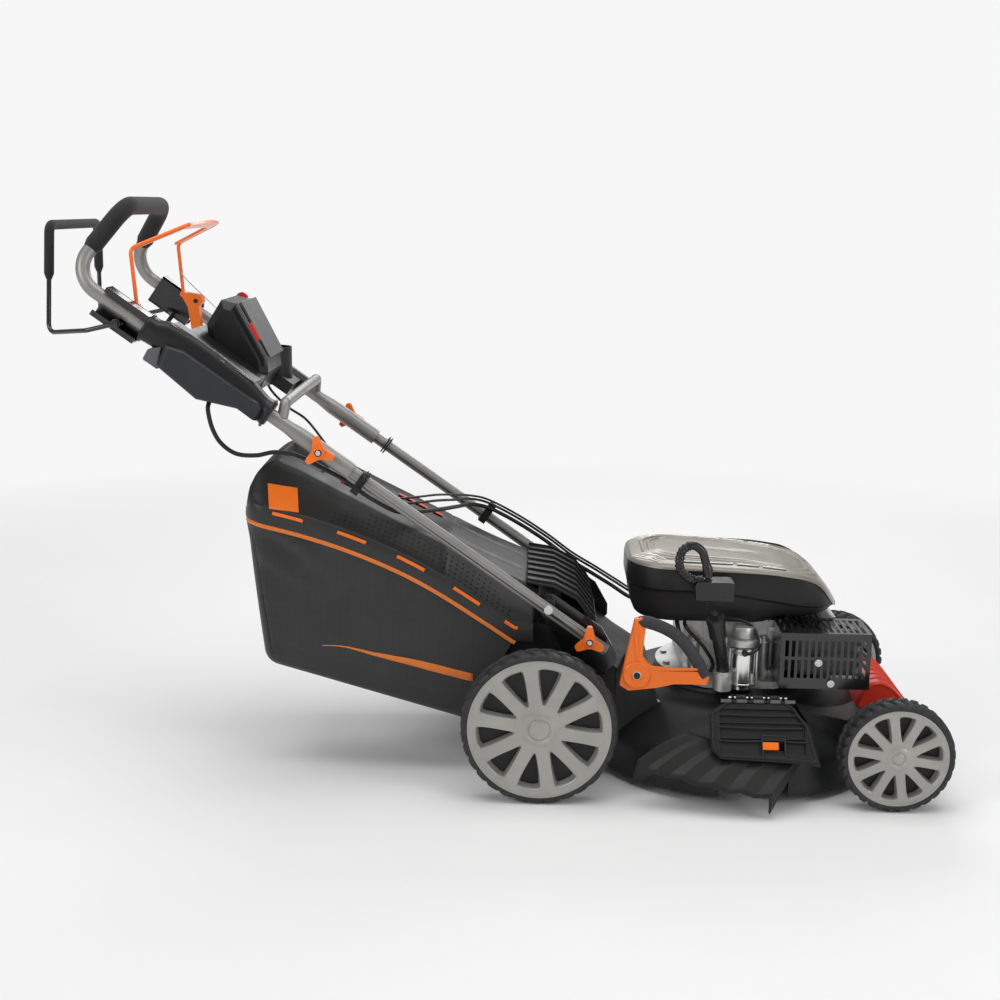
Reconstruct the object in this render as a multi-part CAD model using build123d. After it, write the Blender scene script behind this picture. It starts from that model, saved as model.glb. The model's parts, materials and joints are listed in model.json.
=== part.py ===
from build123d import *
import math
import os

# Petrol push mower, millimetres. While modelling, X = 0 is the rear axle, Y = 0 the centre plane,
# Z = 0 the ground; +X is forward and -Y is the side with the chute.
# Every piece is moved by ORIGIN_SHIFT when it is written, so that the origin sits at the
# bottom centre of the whole machine.
ORIGIN_SHIFT = (79.0, 22.0, 0.0)

# wheels
WHEELBASE = 632.0
REAR_TYRE_R = 140.0
REAR_RIM_R = 127.0
FRONT_TYRE_R = 101.5
FRONT_RIM_R = 88.0
WHEEL_OUTER_Y = 300.0
WHEEL_WIDTH = 47.0
SPOKES = 10
TREAD_BLOCKS = 30
STUB_R = 6.0
RUNNING_FIT = 0.05

# axle carriers: a cross shaft with a crank arm at each end
CRANK_ARM = 70.0
CRANK_ANGLE = 18.0
CROSS_SHAFT_R = 8.0
CRANK_INNER_Y = 238.0
CRANK_THICKNESS = 8.0

# deck
DECK_X = 372.0
DECK_R = 286.0
DECK_WALL = 3.0
DECK_TOP_Z = 168.0
SKIRT_Z = 16.0
TUNNEL_HALF = 158.0

# handle
TUBE_Y = 190.0
HANDLE_SLOPE = 0.6985
HANDLE_X0 = -340.7
HANDLE_Z0 = 575.9
LOWER_TUBE_R = 11.0
UPPER_TUBE_R = 12.5
SLEEVE_R = 15.5
LOWER_END_X = 119.0
LOWER_TOP_X = -470.0
SLEEVE_TOP_X = -430.0
FOLD_PIVOT = (13.0, 333.0)
LOCK_KNOB = (87.7, 278.5)
SLEEVE_KNOB_X = -396.5

# grass bag
BAG_HALF = 172.0
BAG_CLOTH = 2.0
LID_WALL = 3.0

# engine
SHAFT_R = 12.5


def handle_z(x):
    """Height of the centre line of the straight handle tubes at x."""
    return HANDLE_Z0 - HANDLE_SLOPE * (x - HANDLE_X0)


def rod(points, radius, bend=20.0):
    """Round bar along a path with rounded corners."""
    if len(points) == 2:
        path = Line(points[0], points[1])
    else:
        path = FilletPolyline(*points, radius=bend)
    direction = Vector(*points[1]) - Vector(*points[0])
    start = Plane(origin=points[0], z_dir=direction)
    return sweep(start * Circle(radius), path=path)


def along_y(x, z, radius, y0, y1):
    """Cylinder parallel to Y between y0 and y1."""
    return Location((x, (y0 + y1) / 2, z)) * Rotation(90, 0, 0) * Cylinder(radius, abs(y1 - y0))


def along_x(y, z, radius, x0, x1):
    """Cylinder parallel to X between x0 and x1."""
    return Location(((x0 + x1) / 2, y, z)) * Rotation(0, 90, 0) * Cylinder(radius, abs(x1 - x0))


def along_z(x, y, radius, z0, z1):
    """Cylinder parallel to Z between z0 and z1."""
    return Location((x, y, (z0 + z1) / 2)) * Cylinder(radius, abs(z1 - z0))


def block(x0, x1, y0, y1, z0, z1):
    """Box between two corners."""
    return Location(((x0 + x1) / 2, (y0 + y1) / 2, (z0 + z1) / 2)) * Box(x1 - x0, y1 - y0, z1 - z0)


def side_plate(points, y0, y1):
    """Plate with an outline drawn in the X-Z plane, between y0 and y1."""
    plane = Plane(origin=(0, y1, 0), x_dir=(1, 0, 0), z_dir=(0, -1, 0))
    return extrude(plane * make_face(Polyline(*points, close=True)), amount=y1 - y0)


def turned(points, x, y, z=0.0):
    """Solid of revolution about a vertical axis; points are (radius, height)."""
    outline = Plane.XZ * make_face(Polyline(*points, close=True))
    return Location((x, y, z)) * revolve(outline, axis=Axis.Z)


def mirrored(shape):
    """Copy on the far side of the machine."""
    return mirror(shape, about=Plane.XZ)


def biggest(shape):
    """Largest solid of a result that may hold loose slivers."""
    return max(shape.solids(), key=lambda solid: solid.volume)


parts = {}

# ---------------------------------------------------------------- wheels


def tyre(radius, rim_radius):
    """Tyre standing on the X-Y plane, axis +Z, outer face up, with a block tread."""
    shoulder = 6.0
    half = WHEEL_WIDTH / 2
    outline = [
        (rim_radius, -half + 3), (rim_radius + 4, -half), (radius - shoulder, -half),
        (radius - 2.5, -half + shoulder), (radius, -half + 16), (radius, half - 16),
        (radius - 2.5, half - shoulder), (radius - shoulder, half), (rim_radius + 4, half),
        (rim_radius, half - 3),
    ]
    body = turned(outline, 0, 0)
    groove = Rotation(24, 0, 0) * Box(14, 0.34 * 2 * math.pi * radius / TREAD_BLOCKS, 30)
    for index in range(TREAD_BLOCKS):
        turn = Rotation(0, 0, index * 360 / TREAD_BLOCKS)
        body -= turn * Location((radius + 3.0, 0, half - 4)) * groove
        body -= turn * Rotation(0, 0, 180 / TREAD_BLOCKS) * Location((radius + 3.0, 0, 4 - half)) * groove
    return biggest(body)


def rim(rim_radius, hub_r):
    """Ten-spoke rim, axis +Z, outer face up, with a blind bore for the stub axle."""
    half = WHEEL_WIDTH / 2
    barrel = turned([
        (rim_radius - 12, -half + 2), (rim_radius, -half + 2), (rim_radius, half - 1),
        (rim_radius - 3, half + 0.0), (rim_radius - 9, half), (rim_radius - 12, half - 6),
    ], 0, 0)
    web = turned([
        (0, -half + 2), (hub_r - 6, -half + 2), (hub_r - 4, half - 14), (rim_radius - 11, half - 12),
        (rim_radius - 11, half - 5), (hub_r + 6, half - 3), (hub_r + 2, half), (hub_r - 2, half),
        (hub_r - 3, half - 3), (12, half - 3), (10, half - 1), (0, half - 1),
    ], 0, 0)
    inner = hub_r + 9
    outer = rim_radius - 14
    pitch = 2 * math.pi / SPOKES
    window = extrude(make_face(Polyline(
        (inner, -inner * pitch * 0.16), (outer, -outer * pitch * 0.34),
        (outer + 2, 0), (outer, outer * pitch * 0.34), (inner, inner * pitch * 0.16), close=True,
    )), amount=60, both=True)
    for index in range(SPOKES):
        web -= Rotation(0, 0, (index + 0.5) * 360 / SPOKES) * window
    bore = Location((0, 0, -6)) * Cylinder(STUB_R + RUNNING_FIT, WHEEL_WIDTH)
    return biggest(barrel + web - bore)


def wheel(name, x, radius, rim_radius, hub_r, side):
    """Place a tyre and a rim; side is -1 for the chute side and +1 for the far side."""
    centre_y = side * (WHEEL_OUTER_Y - WHEEL_WIDTH / 2)
    place = Location((x, centre_y, radius)) * Rotation(90 if side < 0 else -90, 0, 0)
    parts["tyre_" + name] = place * tyre(radius, rim_radius)
    parts["rim_" + name] = place * rim(rim_radius, hub_r)


wheel("rear_near", 0.0, REAR_TYRE_R, REAR_RIM_R, 34.0, -1)
wheel("rear_far", 0.0, REAR_TYRE_R, REAR_RIM_R, 34.0, 1)
wheel("front_near", WHEELBASE, FRONT_TYRE_R, FRONT_RIM_R, 26.0, -1)
wheel("front_far", WHEELBASE, FRONT_TYRE_R, FRONT_RIM_R, 26.0, 1)

# ---------------------------------------------------------------- axle carriers

crank_dx = CRANK_ARM * math.cos(math.radians(CRANK_ANGLE))
crank_dz = CRANK_ARM * math.sin(math.radians(CRANK_ANGLE))
REAR_SHAFT = (crank_dx, REAR_TYRE_R - crank_dz)
FRONT_SHAFT = (WHEELBASE + crank_dx, FRONT_TYRE_R - crank_dz)


def carrier(shaft, axle):
    """Cross shaft with two crank arms and two stub axles."""
    outer_y = CRANK_INNER_Y + CRANK_THICKNESS
    body = along_y(shaft[0], shaft[1], CROSS_SHAFT_R, -outer_y, outer_y)
    angle = math.atan2(axle[1] - shaft[1], axle[0] - shaft[0])
    nx = -math.sin(angle)
    nz = math.cos(angle)
    outline = [
        (shaft[0] + 15 * nx, shaft[1] + 15 * nz), (axle[0] + 13 * nx, axle[1] + 13 * nz),
        (axle[0] - 13 * nx, axle[1] - 13 * nz), (shaft[0] - 15 * nx, shaft[1] - 15 * nz),
    ]
    for side in (-1, 1):
        low = min(side * CRANK_INNER_Y, side * outer_y)
        high = max(side * CRANK_INNER_Y, side * outer_y)
        body += side_plate(outline, low, high)
        body += along_y(shaft[0], shaft[1], 15, low, high)
        body += along_y(axle[0], axle[1], 13, low, high)
        body += along_y(axle[0], axle[1], 10, side * outer_y, side * (outer_y + 5))
        body += along_y(axle[0], axle[1], STUB_R, side * outer_y, side * (WHEEL_OUTER_Y - 10))
    return body


parts["rear_axle"] = carrier(REAR_SHAFT, (0.0, REAR_TYRE_R))
parts["front_axle"] = carrier(FRONT_SHAFT, (WHEELBASE, FRONT_TYRE_R))

# transmission hanging on the rear cross shaft
gearbox = along_y(REAR_SHAFT[0], REAR_SHAFT[1], 31, -62, 10)
gearbox += along_z(REAR_SHAFT[0] - 22, -26, 22, REAR_SHAFT[1] - 30, REAR_SHAFT[1] + 22)
gearbox -= parts["rear_axle"]
parts["gearbox"] = biggest(gearbox)

# ---------------------------------------------------------------- deck

outer_profile = [
    (0, SKIRT_Z - 40), (DECK_R, SKIRT_Z - 40), (DECK_R, 70), (DECK_R - 6, 82), (246, 120), (214, 148),
    (196, 156), (150, 160), (140, DECK_TOP_Z), (0, DECK_TOP_Z),
]
inner_profile = [
    (0, SKIRT_Z - 50), (DECK_R - DECK_WALL, SKIRT_Z - 50), (DECK_R - DECK_WALL, 69),
    (DECK_R - DECK_WALL - 6, 80.5), (243.8, 118), (212.8, 145), (195.5, 153), (149, 157), (139, 165),
        (0, 165),
]
mouth_lean = 0.5345


def mouth_x(z):
    """Front face of the bag mouth: leans forward as it rises."""
    return -134.0 + (z - 106.0) * mouth_lean


tail_outer = [
    (250, 40), (130, 40), (112, 120), (98, 152), (-30, 152), (mouth_x(150) + 3, 150),
    (mouth_x(296) + 3, 296), (40, 290), (92, 250), (150, 205), (215, 163),
]
tail_inner = [
    (250, 30), (136, 30), (118, 122), (102, 156), (-30, 156), (mouth_x(154) - 30, 154),
    (mouth_x(293) - 30, 293), (38, 287), (90, 247), (147, 200), (206, 154), (222, 148), (260, 148),
]
deck = turned(outer_profile, DECK_X, 0) + side_plate(tail_outer, -TUNNEL_HALF, TUNNEL_HALF)
nose = side_plate([(560, 30), (704, 44), (718, 72), (704, 108), (600, 128), (470, 156)], -205, 205)
nose_hollow = side_plate([(540, 0), (701, 20), (714.5, 72), (701.5, 105), (599, 125), (468, 153)], -202, 202)
deck -= turned(inner_profile, DECK_X, 0)
deck -= side_plate(tail_inner, -TUNNEL_HALF + DECK_WALL, TUNNEL_HALF - DECK_WALL)
deck -= block(-300, 900, -400, 400, -100, SKIRT_Z)
# side outlet behind the flap
deck -= block(322, 446, -330, -225, SKIRT_Z - 5, 100)
# pass-through for the engine shaft and slots for the cross shafts
deck -= along_z(DECK_X, 0, SHAFT_R + 6, 100, 200)
deck = biggest(deck)
# bearing plates for the rear cross shaft
for side in (-1, 1):
    tail_low = min(side * 155, side * 164)
    tail_high = max(side * 155, side * 164)
    deck += side_plate([(120, 100), (120, 200), (30, 200), (40, 96), (80, 92)], tail_low, tail_high)
deck -= along_y(REAR_SHAFT[0], REAR_SHAFT[1], CROSS_SHAFT_R + RUNNING_FIT, -230, 230)
parts["deck"] = biggest(deck)

# apron in front of the deck, with the bearings of the front cross shaft
apron = nose - nose_hollow
for side in (-1, 1):
    apron += along_y(FRONT_SHAFT[0], FRONT_SHAFT[1], 17, side * 196, side * 216)
apron -= turned(outer_profile, DECK_X, 0)
apron -= block(-300, 900, -400, 400, -100, SKIRT_Z)
apron -= along_y(FRONT_SHAFT[0], FRONT_SHAFT[1], CROSS_SHAFT_R + RUNNING_FIT, -230, 230)
parts["front_apron"] = biggest(apron)

# ---------------------------------------------------------------- side outlet

FLAP_HINGE = (-236.0, 186.0)
flap_tilt = math.degrees(math.atan2(66.0, 96.0))


def flap_plane():
    """Plane of the side flap: local x is along the machine, local y runs down the slope."""
    return Location((0, FLAP_HINGE[0], FLAP_HINGE[1])) * Rotation(-90 - flap_tilt, 0, 0)


flap_outline = Polyline((340, 4), (436, 4), (452, 16), (478, 52), (494, 122), (472, 118), (320, 112),
    (304, 96),
                        (302, 30), (318, 18), close=True)
flap_plate = extrude(make_face(flap_outline), amount=-3)
flap_rib_slots = Location((395, 62, 0)) * Box(150, 80, 20)
flap_frame = extrude(make_face(flap_outline), amount=-7) - flap_rib_slots
for rib_s in (46, 74):
    flap_frame += Location((395, rib_s, -3.5)) * Box(150, 3, 7)
flap = flap_plate + flap_frame
flap -= Location((413, 88, -5)) * Box(40, 14, 20)
flap_body = flap_plane() * flap
for x in (360, 390, 420):
    flap_body += along_x(FLAP_HINGE[0], FLAP_HINGE[1], 6, x - 9, x + 9)
flap_body -= along_x(FLAP_HINGE[0], FLAP_HINGE[1], 3 + RUNNING_FIT, 320, 460)
for x in (345, 375, 405, 435):
    flap_body -= along_x(FLAP_HINGE[0], FLAP_HINGE[1], 14, x - 5.5, x + 5.5)
parts["side_flap"] = biggest(flap_body)
latch = Location((408, 88, -4.4)) * Box(28, 13.2, 11.2) + Location((408, 88, 0.8)) * Box(28, 20, 0.8)
parts["flap_latch"] = flap_plane() * latch

# lugs that carry the hinge rod of the flap
lug_outline = Polyline((FLAP_HINGE[0] - 6, FLAP_HINGE[1] + 4), (FLAP_HINGE[0] + 5, FLAP_HINGE[1] + 6),
                       (-198, 150), (-225, 134), close=True)
lugs = None
for x in (345, 375, 405, 435):
    lug_plane = Plane(origin=(x - 2, 0, 0), x_dir=(0, 1, 0), z_dir=(1, 0, 0))
    lug = extrude(lug_plane * make_face(lug_outline), amount=4)
    lugs = lug if lugs is None else lugs + lug
lugs -= turned(inner_profile, DECK_X, 0)
lugs -= along_x(FLAP_HINGE[0], FLAP_HINGE[1], 3, 320, 460)
parts["deck"] = biggest(parts["deck"] + lugs - along_x(FLAP_HINGE[0], FLAP_HINGE[1], 3, 320, 460))

# chute: corrugated ramp with a fin at each end
chute_plane = Plane(origin=(150, 0, 0), x_dir=(0, 1, 0), z_dir=(1, 0, 0))
ramp = extrude(chute_plane * make_face(Polyline(
    (-200, 98), (-288, 98), (-340, 38), (-338, 35.5), (-287, 94.5), (-200, 94.5), close=True)), amount=345)
for x in (215, 262, 309, 356):
    rib_plane = Plane(origin=(x, 0, 0), x_dir=(0, 1, 0), z_dir=(1, 0, 0))
    ramp += extrude(rib_plane * make_face(Polyline(
        (-286, 98), (-290, 101), (-342, 41), (-338, 36), (-286, 96), close=True)), amount=6)
trim_left = extrude(make_face(Polyline((100, -200), (205, -200), (196, -286), (150, -345), (100, -345),
    close=True)),
                    amount=200)
trim_right = extrude(make_face(Polyline((500, -200), (494, -286), (404, -345), (520, -345),
    close=True)), amount=200)
ramp -= trim_left
ramp -= trim_right
left_fin = extrude(make_face(Polyline((194, -282), (199, -284), (156, -342), (151, -341), close=True)),
    amount=80)
left_fin = Location((0, 0, 14)) * left_fin
right_fin = extrude(make_face(Polyline((488, -288), (492, -291), (408, -344), (402, -341),
    close=True)), amount=88)
right_fin = Location((0, 0, 8)) * right_fin
fin_top = extrude(chute_plane * make_face(Polyline(
    (-200, 98), (-288, 98), (-350, 27), (-350, 200), (-200, 200), close=True)), amount=400)
chute = ramp + (left_fin - fin_top) + (right_fin - fin_top)
chute -= along_z(DECK_X, 0, DECK_R, 0, 200)
parts["side_chute"] = biggest(chute)

# ---------------------------------------------------------------- front bumper

bumper_outline = [(588, 100), (612, 176), (634, 192), (658, 190), (690, 158), (712, 122), (716, 90),
    (700, 90)]
bumper = side_plate(bumper_outline, -112, 112)
bumper -= side_plate([(560, 60), (619, 166), (636, 183), (655, 181), (683, 152), (704, 120),
    (708, 80)], -102, 102)
bumper += side_plate([(620, 166), (634, 192), (658, 190), (662, 180), (650, 172), (634, 172)], -106, 106)
for y in (-70, -35, 0, 35, 70):
    bumper += side_plate([(655, 184), (664, 184), (712, 122), (716, 90), (700, 90), (696, 118)], y - 5, y + 5)
bumper -= nose
bumper -= turned(outer_profile, DECK_X, 0)
parts["front_bumper"] = biggest(bumper)

# ---------------------------------------------------------------- handle brackets

REAR_HINGE = (104.0, 256.0)
bracket_outline = [(-12, 336), (0, 352), (22, 352), (112, 290), (138, 244), (138, 222), (120, 204),
    (56, 204), (30, 260)]


def handle_bracket(side):
    """Plate beside the tunnel with a spacer for the fold bolt; side is -1 or +1."""
    inner = side * TUNNEL_HALF
    outer = side * (TUNNEL_HALF + 6)
    body = side_plate(bracket_outline, min(inner, outer), max(inner, outer))
    body += along_y(FOLD_PIVOT[0], FOLD_PIVOT[1], 12, inner, side * (TUBE_Y - LOWER_TUBE_R - 0.4))
    body -= along_y(FOLD_PIVOT[0], FOLD_PIVOT[1], 4, inner - side * 4, side * TUBE_Y)
    body -= along_y(REAR_HINGE[0], REAR_HINGE[1], 3, inner - side * 4, side * TUBE_Y)
    return body


parts["handle_bracket_near"] = handle_bracket(-1)
parts["handle_bracket_far"] = handle_bracket(1)

# ---------------------------------------------------------------- rear flap

flap_line = [(108, 262), (96, 302), (66, 341), (24, 363), (-26, 371)]
flap_under = [(-26, 367.5), (23, 359.5), (63.5, 338), (92.5, 300.5), (102, 262)]
rear = side_plate(flap_line + flap_under, -150, 150)
rib_line = [(108, 262), (98, 305), (68, 345), (24, 368), (-26, 375)]
for y in (-140, -100, -60, -20, 20, 60, 100, 140):
    rear += side_plate(rib_line + flap_under, y - 1.5, y + 1.5)
for y in (-130, 0, 130):
    rear += along_y(REAR_HINGE[0], REAR_HINGE[1], 6.5, y - 12, y + 12)
rear -= along_y(REAR_HINGE[0], REAR_HINGE[1], 3 + RUNNING_FIT, -200, 200)
parts["rear_flap"] = biggest(rear)

# ---------------------------------------------------------------- engine

engine_block = along_z(DECK_X, 0, 146, DECK_TOP_Z, DECK_TOP_Z + 14) & block(200, 560, -132, 132, 100, 250)
engine_block += block(268, 438, -100, 100, DECK_TOP_Z + 14, 292)
engine_block += along_z(DECK_X, 0, 62, 292, 304)
for x in (288, 418):
    for y in (-104, 104):
        engine_block += along_z(x, y, 11, DECK_TOP_Z + 14, 250)
engine_block += block(340, 404, -158, -100, 262, 274)
engine_block += along_z(372, -150, 31, 262, 274)
engine_block += block(318, 350, -178, -100, DECK_TOP_Z + 14, DECK_TOP_Z + 26)
engine_block += along_z(334, -178, 17, DECK_TOP_Z + 14, DECK_TOP_Z + 42)
engine_block -= along_z(334, -178, 12, DECK_TOP_Z + 22, 260)
engine_block -= along_z(DECK_X, 0, SHAFT_R + RUNNING_FIT, 100, 320)

FIN_COUNT = 8
engine_block += block(430, 530, -52, 52, 200, 288)
for index in range(FIN_COUNT):
    x = 444 + index * 11
    engine_block += block(x, x + 3.5, -98, 98, 192, 296)
engine_block += block(530, 556, -70, 70, 196, 292)
engine_block += along_x(0, 250, 11, 556, 572)
parts["engine_block"] = biggest(engine_block)

STARTER = (372.0, -150.0)
starter = along_z(STARTER[0], STARTER[1], 27, DECK_TOP_Z + 16, 262)
starter += along_z(STARTER[0], STARTER[1], 17, DECK_TOP_Z + 8, DECK_TOP_Z + 16)
starter += along_z(STARTER[0], STARTER[1], 20, 274, 296)
starter += along_z(STARTER[0], STARTER[1], 8, 255, 280)
starter -= parts["engine_block"]
parts["engine_block"] = parts["engine_block"] - along_z(STARTER[0], STARTER[1], 8, 255, 280)
starter += along_z(STARTER[0], STARTER[1], 8, 262, 274)
parts["starter_motor"] = biggest(starter)
parts["engine_block"] = biggest(parts["engine_block"] - parts["starter_motor"])

FILLER_FOOT = (334.0, -178.0, 190.0)
FILLER_TOP = (313.0, -212.0, 318.0)
FILLER_BEND = (334.0, -178.0, 226.0)
filler_axis = (Vector(*FILLER_TOP) - Vector(*FILLER_BEND)).normalized()


def on_filler(distance):
    """Point on the axis of the upper filler tube, measured up from its top rim."""
    return tuple(Vector(*FILLER_TOP) + filler_axis * distance)


filler = rod([FILLER_FOOT, FILLER_BEND, FILLER_TOP], 12, bend=40)
filler += rod([on_filler(-30), FILLER_TOP], 16)
filler -= block(300, 380, -178, -100, DECK_TOP_Z + 14, 190)
filler -= rod([on_filler(-70), on_filler(1)], 3.4)
parts["oil_filler"] = biggest(filler)
dipstick = rod([FILLER_TOP, on_filler(12)], 17)
dipstick += rod([on_filler(12), on_filler(24)], 6)
dipstick += rod([on_filler(-66), FILLER_TOP], 3)
parts["dipstick"] = biggest(dipstick)


def rounded_loft(levels):
    """Closed loft through rounded rectangles: (z, x0, x1, half width, corner radius)."""
    sections = []
    for z, x0, x1, half, corner in levels:
        sections.append(Location(((x0 + x1) / 2, 0, z)) * RectangleRounded(x1 - x0, 2 * half, corner))
    return loft(sections)


SPLIT_Z = 380.0
HOOD_HALF = 128.0
shroud = rounded_loft([(308, 178, 540, HOOD_HALF - 12, 66), (340, 162, 557, HOOD_HALF, 84),
                       (SPLIT_Z, 164, 548, HOOD_HALF - 2, 84)])
shroud -= rounded_loft([(306, 181, 537, HOOD_HALF - 15, 63), (340, 165, 554, HOOD_HALF - 3, 81),
                        (SPLIT_Z + 1, 167, 545, HOOD_HALF - 5, 81)])
guide = block(276, 346, -196, 10 - HOOD_HALF, 352, 386)
guide -= rounded_loft([(300, 178, 540, HOOD_HALF - 14, 66), (340, 164, 555, HOOD_HALF - 1.5, 84),
                       (SPLIT_Z, 166, 546, HOOD_HALF - 3.5, 84), (400, 166, 546, HOOD_HALF - 3.5, 84)])
guide -= along_z(298, -180, 5, 376, 400)
shroud += guide
parts["engine_shroud"] = biggest(shroud)
cover = rounded_loft([(SPLIT_Z, 163, 549, HOOD_HALF - 2.5, 84), (394, 167, 520, HOOD_HALF - 6, 80),
                      (406, 174, 458, HOOD_HALF - 20, 70), (414, 188, 400, HOOD_HALF - 44, 58)])
cover -= rounded_loft([(SPLIT_Z - 1, 166, 546, HOOD_HALF - 5.5, 81), (392, 171, 516, HOOD_HALF - 9.5, 77),
                       (403, 178, 454, HOOD_HALF - 24, 66), (411, 192, 396, HOOD_HALF - 48, 54)])
cover -= guide
parts["top_cover"] = biggest(cover)

muffler = block(462, 580, -186, -118, 216, 284)
muffler = fillet(muffler.edges().filter_by(Axis.Z), 16)
muffler += along_y(484, 250, 13, -118, -98)
muffler += along_y(556, 232, 9, -118, -104)
parts["muffler"] = biggest(muffler)
guard = block(432, 594, -206, -106, 196, 300) - block(434, 592, -204, -90, 198, 298)
for index in range(13):
    x = 440 + index * 11.6
    guard -= block(x, x + 6.5, -220, -200, 216, 250)
    guard -= block(x, x + 6.5, -220, -200, 256, 286)
    guard -= block(x, x + 6.5, -198, -120, 290, 310)
for index in range(4):
    z = 212 + index * 20
    guard -= block(585, 600, -196, -120, z, z + 10)
guard += along_y(500, 246, 9, -206, -186)
guard += along_y(524, 207.5, 7, -206, -190) - block(400, 600, -220, -100, 180, 196)
for x, z in ((500, 246), (524, 207.5)):
    guard -= along_y(x, z, 3, -207, -187)
parts["muffler_guard"] = biggest(guard)

# ---------------------------------------------------------------- pull start

GRIP_START = (268.0, -184.0, 390.0)
grip = rod([GRIP_START, (244.0, -184.0, 412.0), (250.0, -182.0, 444.0), (274.0, -180.0, 450.0),
            (296.0, -180.0, 428.0), (299.0, -180.0, 404.0)], 6.5, bend=11)
grip += rod([(299.0, -180.0, 395.0), (299.0, -180.0, 412.0)], 8)
grip += rod([(299.0, -180.0, 399.0), GRIP_START], 5)
grip -= rod([(299.0, -180.0, 390.0), (299.0, -180.0, 402.0)], 2.2)
parts["starter_grip"] = biggest(grip)
parts["starter_rope"] = Location((1.0, 0, 0)) * rod([(298.0, -180.0, 377.0), (298.0, -180.0, 402.0)], 2.2)

# ---------------------------------------------------------------- blade and shaft

crankshaft = along_z(DECK_X, 0, SHAFT_R, 66, 300)
crankshaft += along_z(DECK_X, 0, 38, 128, 146)
crankshaft -= along_z(DECK_X, 0, 46, 134, 140) - along_z(DECK_X, 0, 30, 134, 140)
crankshaft += along_z(DECK_X, 0, 24, 66, 88)
crankshaft += along_z(DECK_X, 0, 34, 60, 66)
crankshaft -= along_z(DECK_X, 0, 6, 40, 100)
parts["crankshaft"] = biggest(crankshaft)
BLADE_HALF = 262.0
blade_outline = make_face(Polyline(
    (-BLADE_HALF, -22), (-BLADE_HALF + 8, -30), (-60, -30), (60, -30), (BLADE_HALF - 90, -30),
        (BLADE_HALF - 80, -18),
    (BLADE_HALF, -18), (BLADE_HALF, 22), (BLADE_HALF - 8, 30), (60, 30), (-60, 30), (90 - BLADE_HALF, 30),
    (80 - BLADE_HALF, 18), (-BLADE_HALF, 18), close=True,
))
blade = extrude(blade_outline, amount=4)
for turn in (0, 180):
    wing_plane = Plane(origin=(BLADE_HALF - 78, 0, 0), x_dir=(0, 1, 0), z_dir=(1, 0, 0))
    wing = extrude(wing_plane * make_face(Polyline((-14, 0), (-26, 14), (-23, 16), (-8, 4),
        close=True)), amount=74)
    blade += Rotation(0, 0, turn) * wing
blade -= Cylinder(6, 40)
parts["blade"] = Location((DECK_X, 0, 56)) * biggest(blade)
blade_bolt = along_z(DECK_X, 0, 6, 56, 98)
blade_bolt += Location((DECK_X, 0, 52)) * extrude(RegularPolygon(13, 6), amount=4)
blade_bolt += along_z(DECK_X, 0, 18, 54, 56)
parts["blade_bolt"] = blade_bolt

# ---------------------------------------------------------------- cutting-height lever

LEVER_PIVOT = (172.0, 228.0)
lever_outer = [(166, 330), (178, 334), (186, 322), (181, 262), (200, 240), (232, 236), (284, 236), (302, 226),
               (296, 212), (240, 212), (206, 204), (158, 198), (142, 208), (150, 250), (160, 300)]
lever = side_plate(lever_outer, -244, -229)
lever += along_y(LEVER_PIVOT[0], LEVER_PIVOT[1], 24, -246, -227)
lever -= along_y(LEVER_PIVOT[0], LEVER_PIVOT[1], 6 + RUNNING_FIT, -250, -220)
parts["lift_lever"] = biggest(lever)
grip_path = [(176.0, -236.5, 324.0), (222.0, -236.5, 314.0), (262.0, -236.5, 280.0), (296.0, -236.5, 222.0)]
soft = rod(grip_path, 11, bend=70)
parts["lift_grip"] = biggest(soft - side_plate(lever_outer, -260, -210))
lever_post = along_y(LEVER_PIVOT[0], LEVER_PIVOT[1], 6, -251, -164)
lever_post += along_y(LEVER_PIVOT[0], LEVER_PIVOT[1], 11, -226.5, -164)
lever_post += side_plate([(140, 160), (140, 205), (155, 240), (185, 240), (196, 205), (204, 163), (204, 150)],
                         -164, -155)
lever_post -= side_plate(tail_inner, -155, 155)
lever_post -= turned(inner_profile, DECK_X, 0)
parts["deck"] = biggest(parts["deck"] + lever_post)

# ---------------------------------------------------------------- handle

TUBE_DIRECTION = Vector(1.0, 0.0, -HANDLE_SLOPE).normalized()
TUBE_NORMAL = Vector(HANDLE_SLOPE, 0.0, 1.0).normalized()


def on_tube(x, y, lift=0.0):
    """Point on a handle tube axis at x, optionally lifted at right angles to the tube."""
    base = Vector(x, y, handle_z(x)) + TUBE_NORMAL * lift
    return tuple(base)


def tube_block(x0, x1, y0, y1, low, high):
    """Box aligned with the tube: between x0 and x1 along it, low to high at right angles to it."""
    length = (x1 - x0) / TUBE_DIRECTION.X
    middle = (x0 + x1) / 2
    frame = Plane(origin=(middle, (y0 + y1) / 2, handle_z(middle)), x_dir=TUBE_DIRECTION, z_dir=TUBE_NORMAL)
    return frame * (Location((0, 0, (low + high) / 2)) * Box(length, y1 - y0, high - low))


def tube_cylinder(x0, x1, y, radius):
    """Cylinder on the axis of a handle tube."""
    return rod([on_tube(x0, y), on_tube(x1, y)], radius)


def lower_tube(side):
    """Lower handle tube with holes for the fold bolt and the lock knob."""
    y = side * TUBE_Y
    body = tube_cylinder(LOWER_TOP_X, LOWER_END_X, y, LOWER_TUBE_R)
    body -= tube_cylinder(LOWER_TOP_X - 1, LOWER_END_X + 1, y, LOWER_TUBE_R - 1.6)
    body -= along_y(FOLD_PIVOT[0], FOLD_PIVOT[1], 4 + RUNNING_FIT, y - 20, y + 20)
    body -= along_y(LOCK_KNOB[0], LOCK_KNOB[1], 4 + RUNNING_FIT, y - 20, y + 20)
    return biggest(body)


parts["lower_tube_near"] = lower_tube(-1)
parts["lower_tube_far"] = lower_tube(1)

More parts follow.
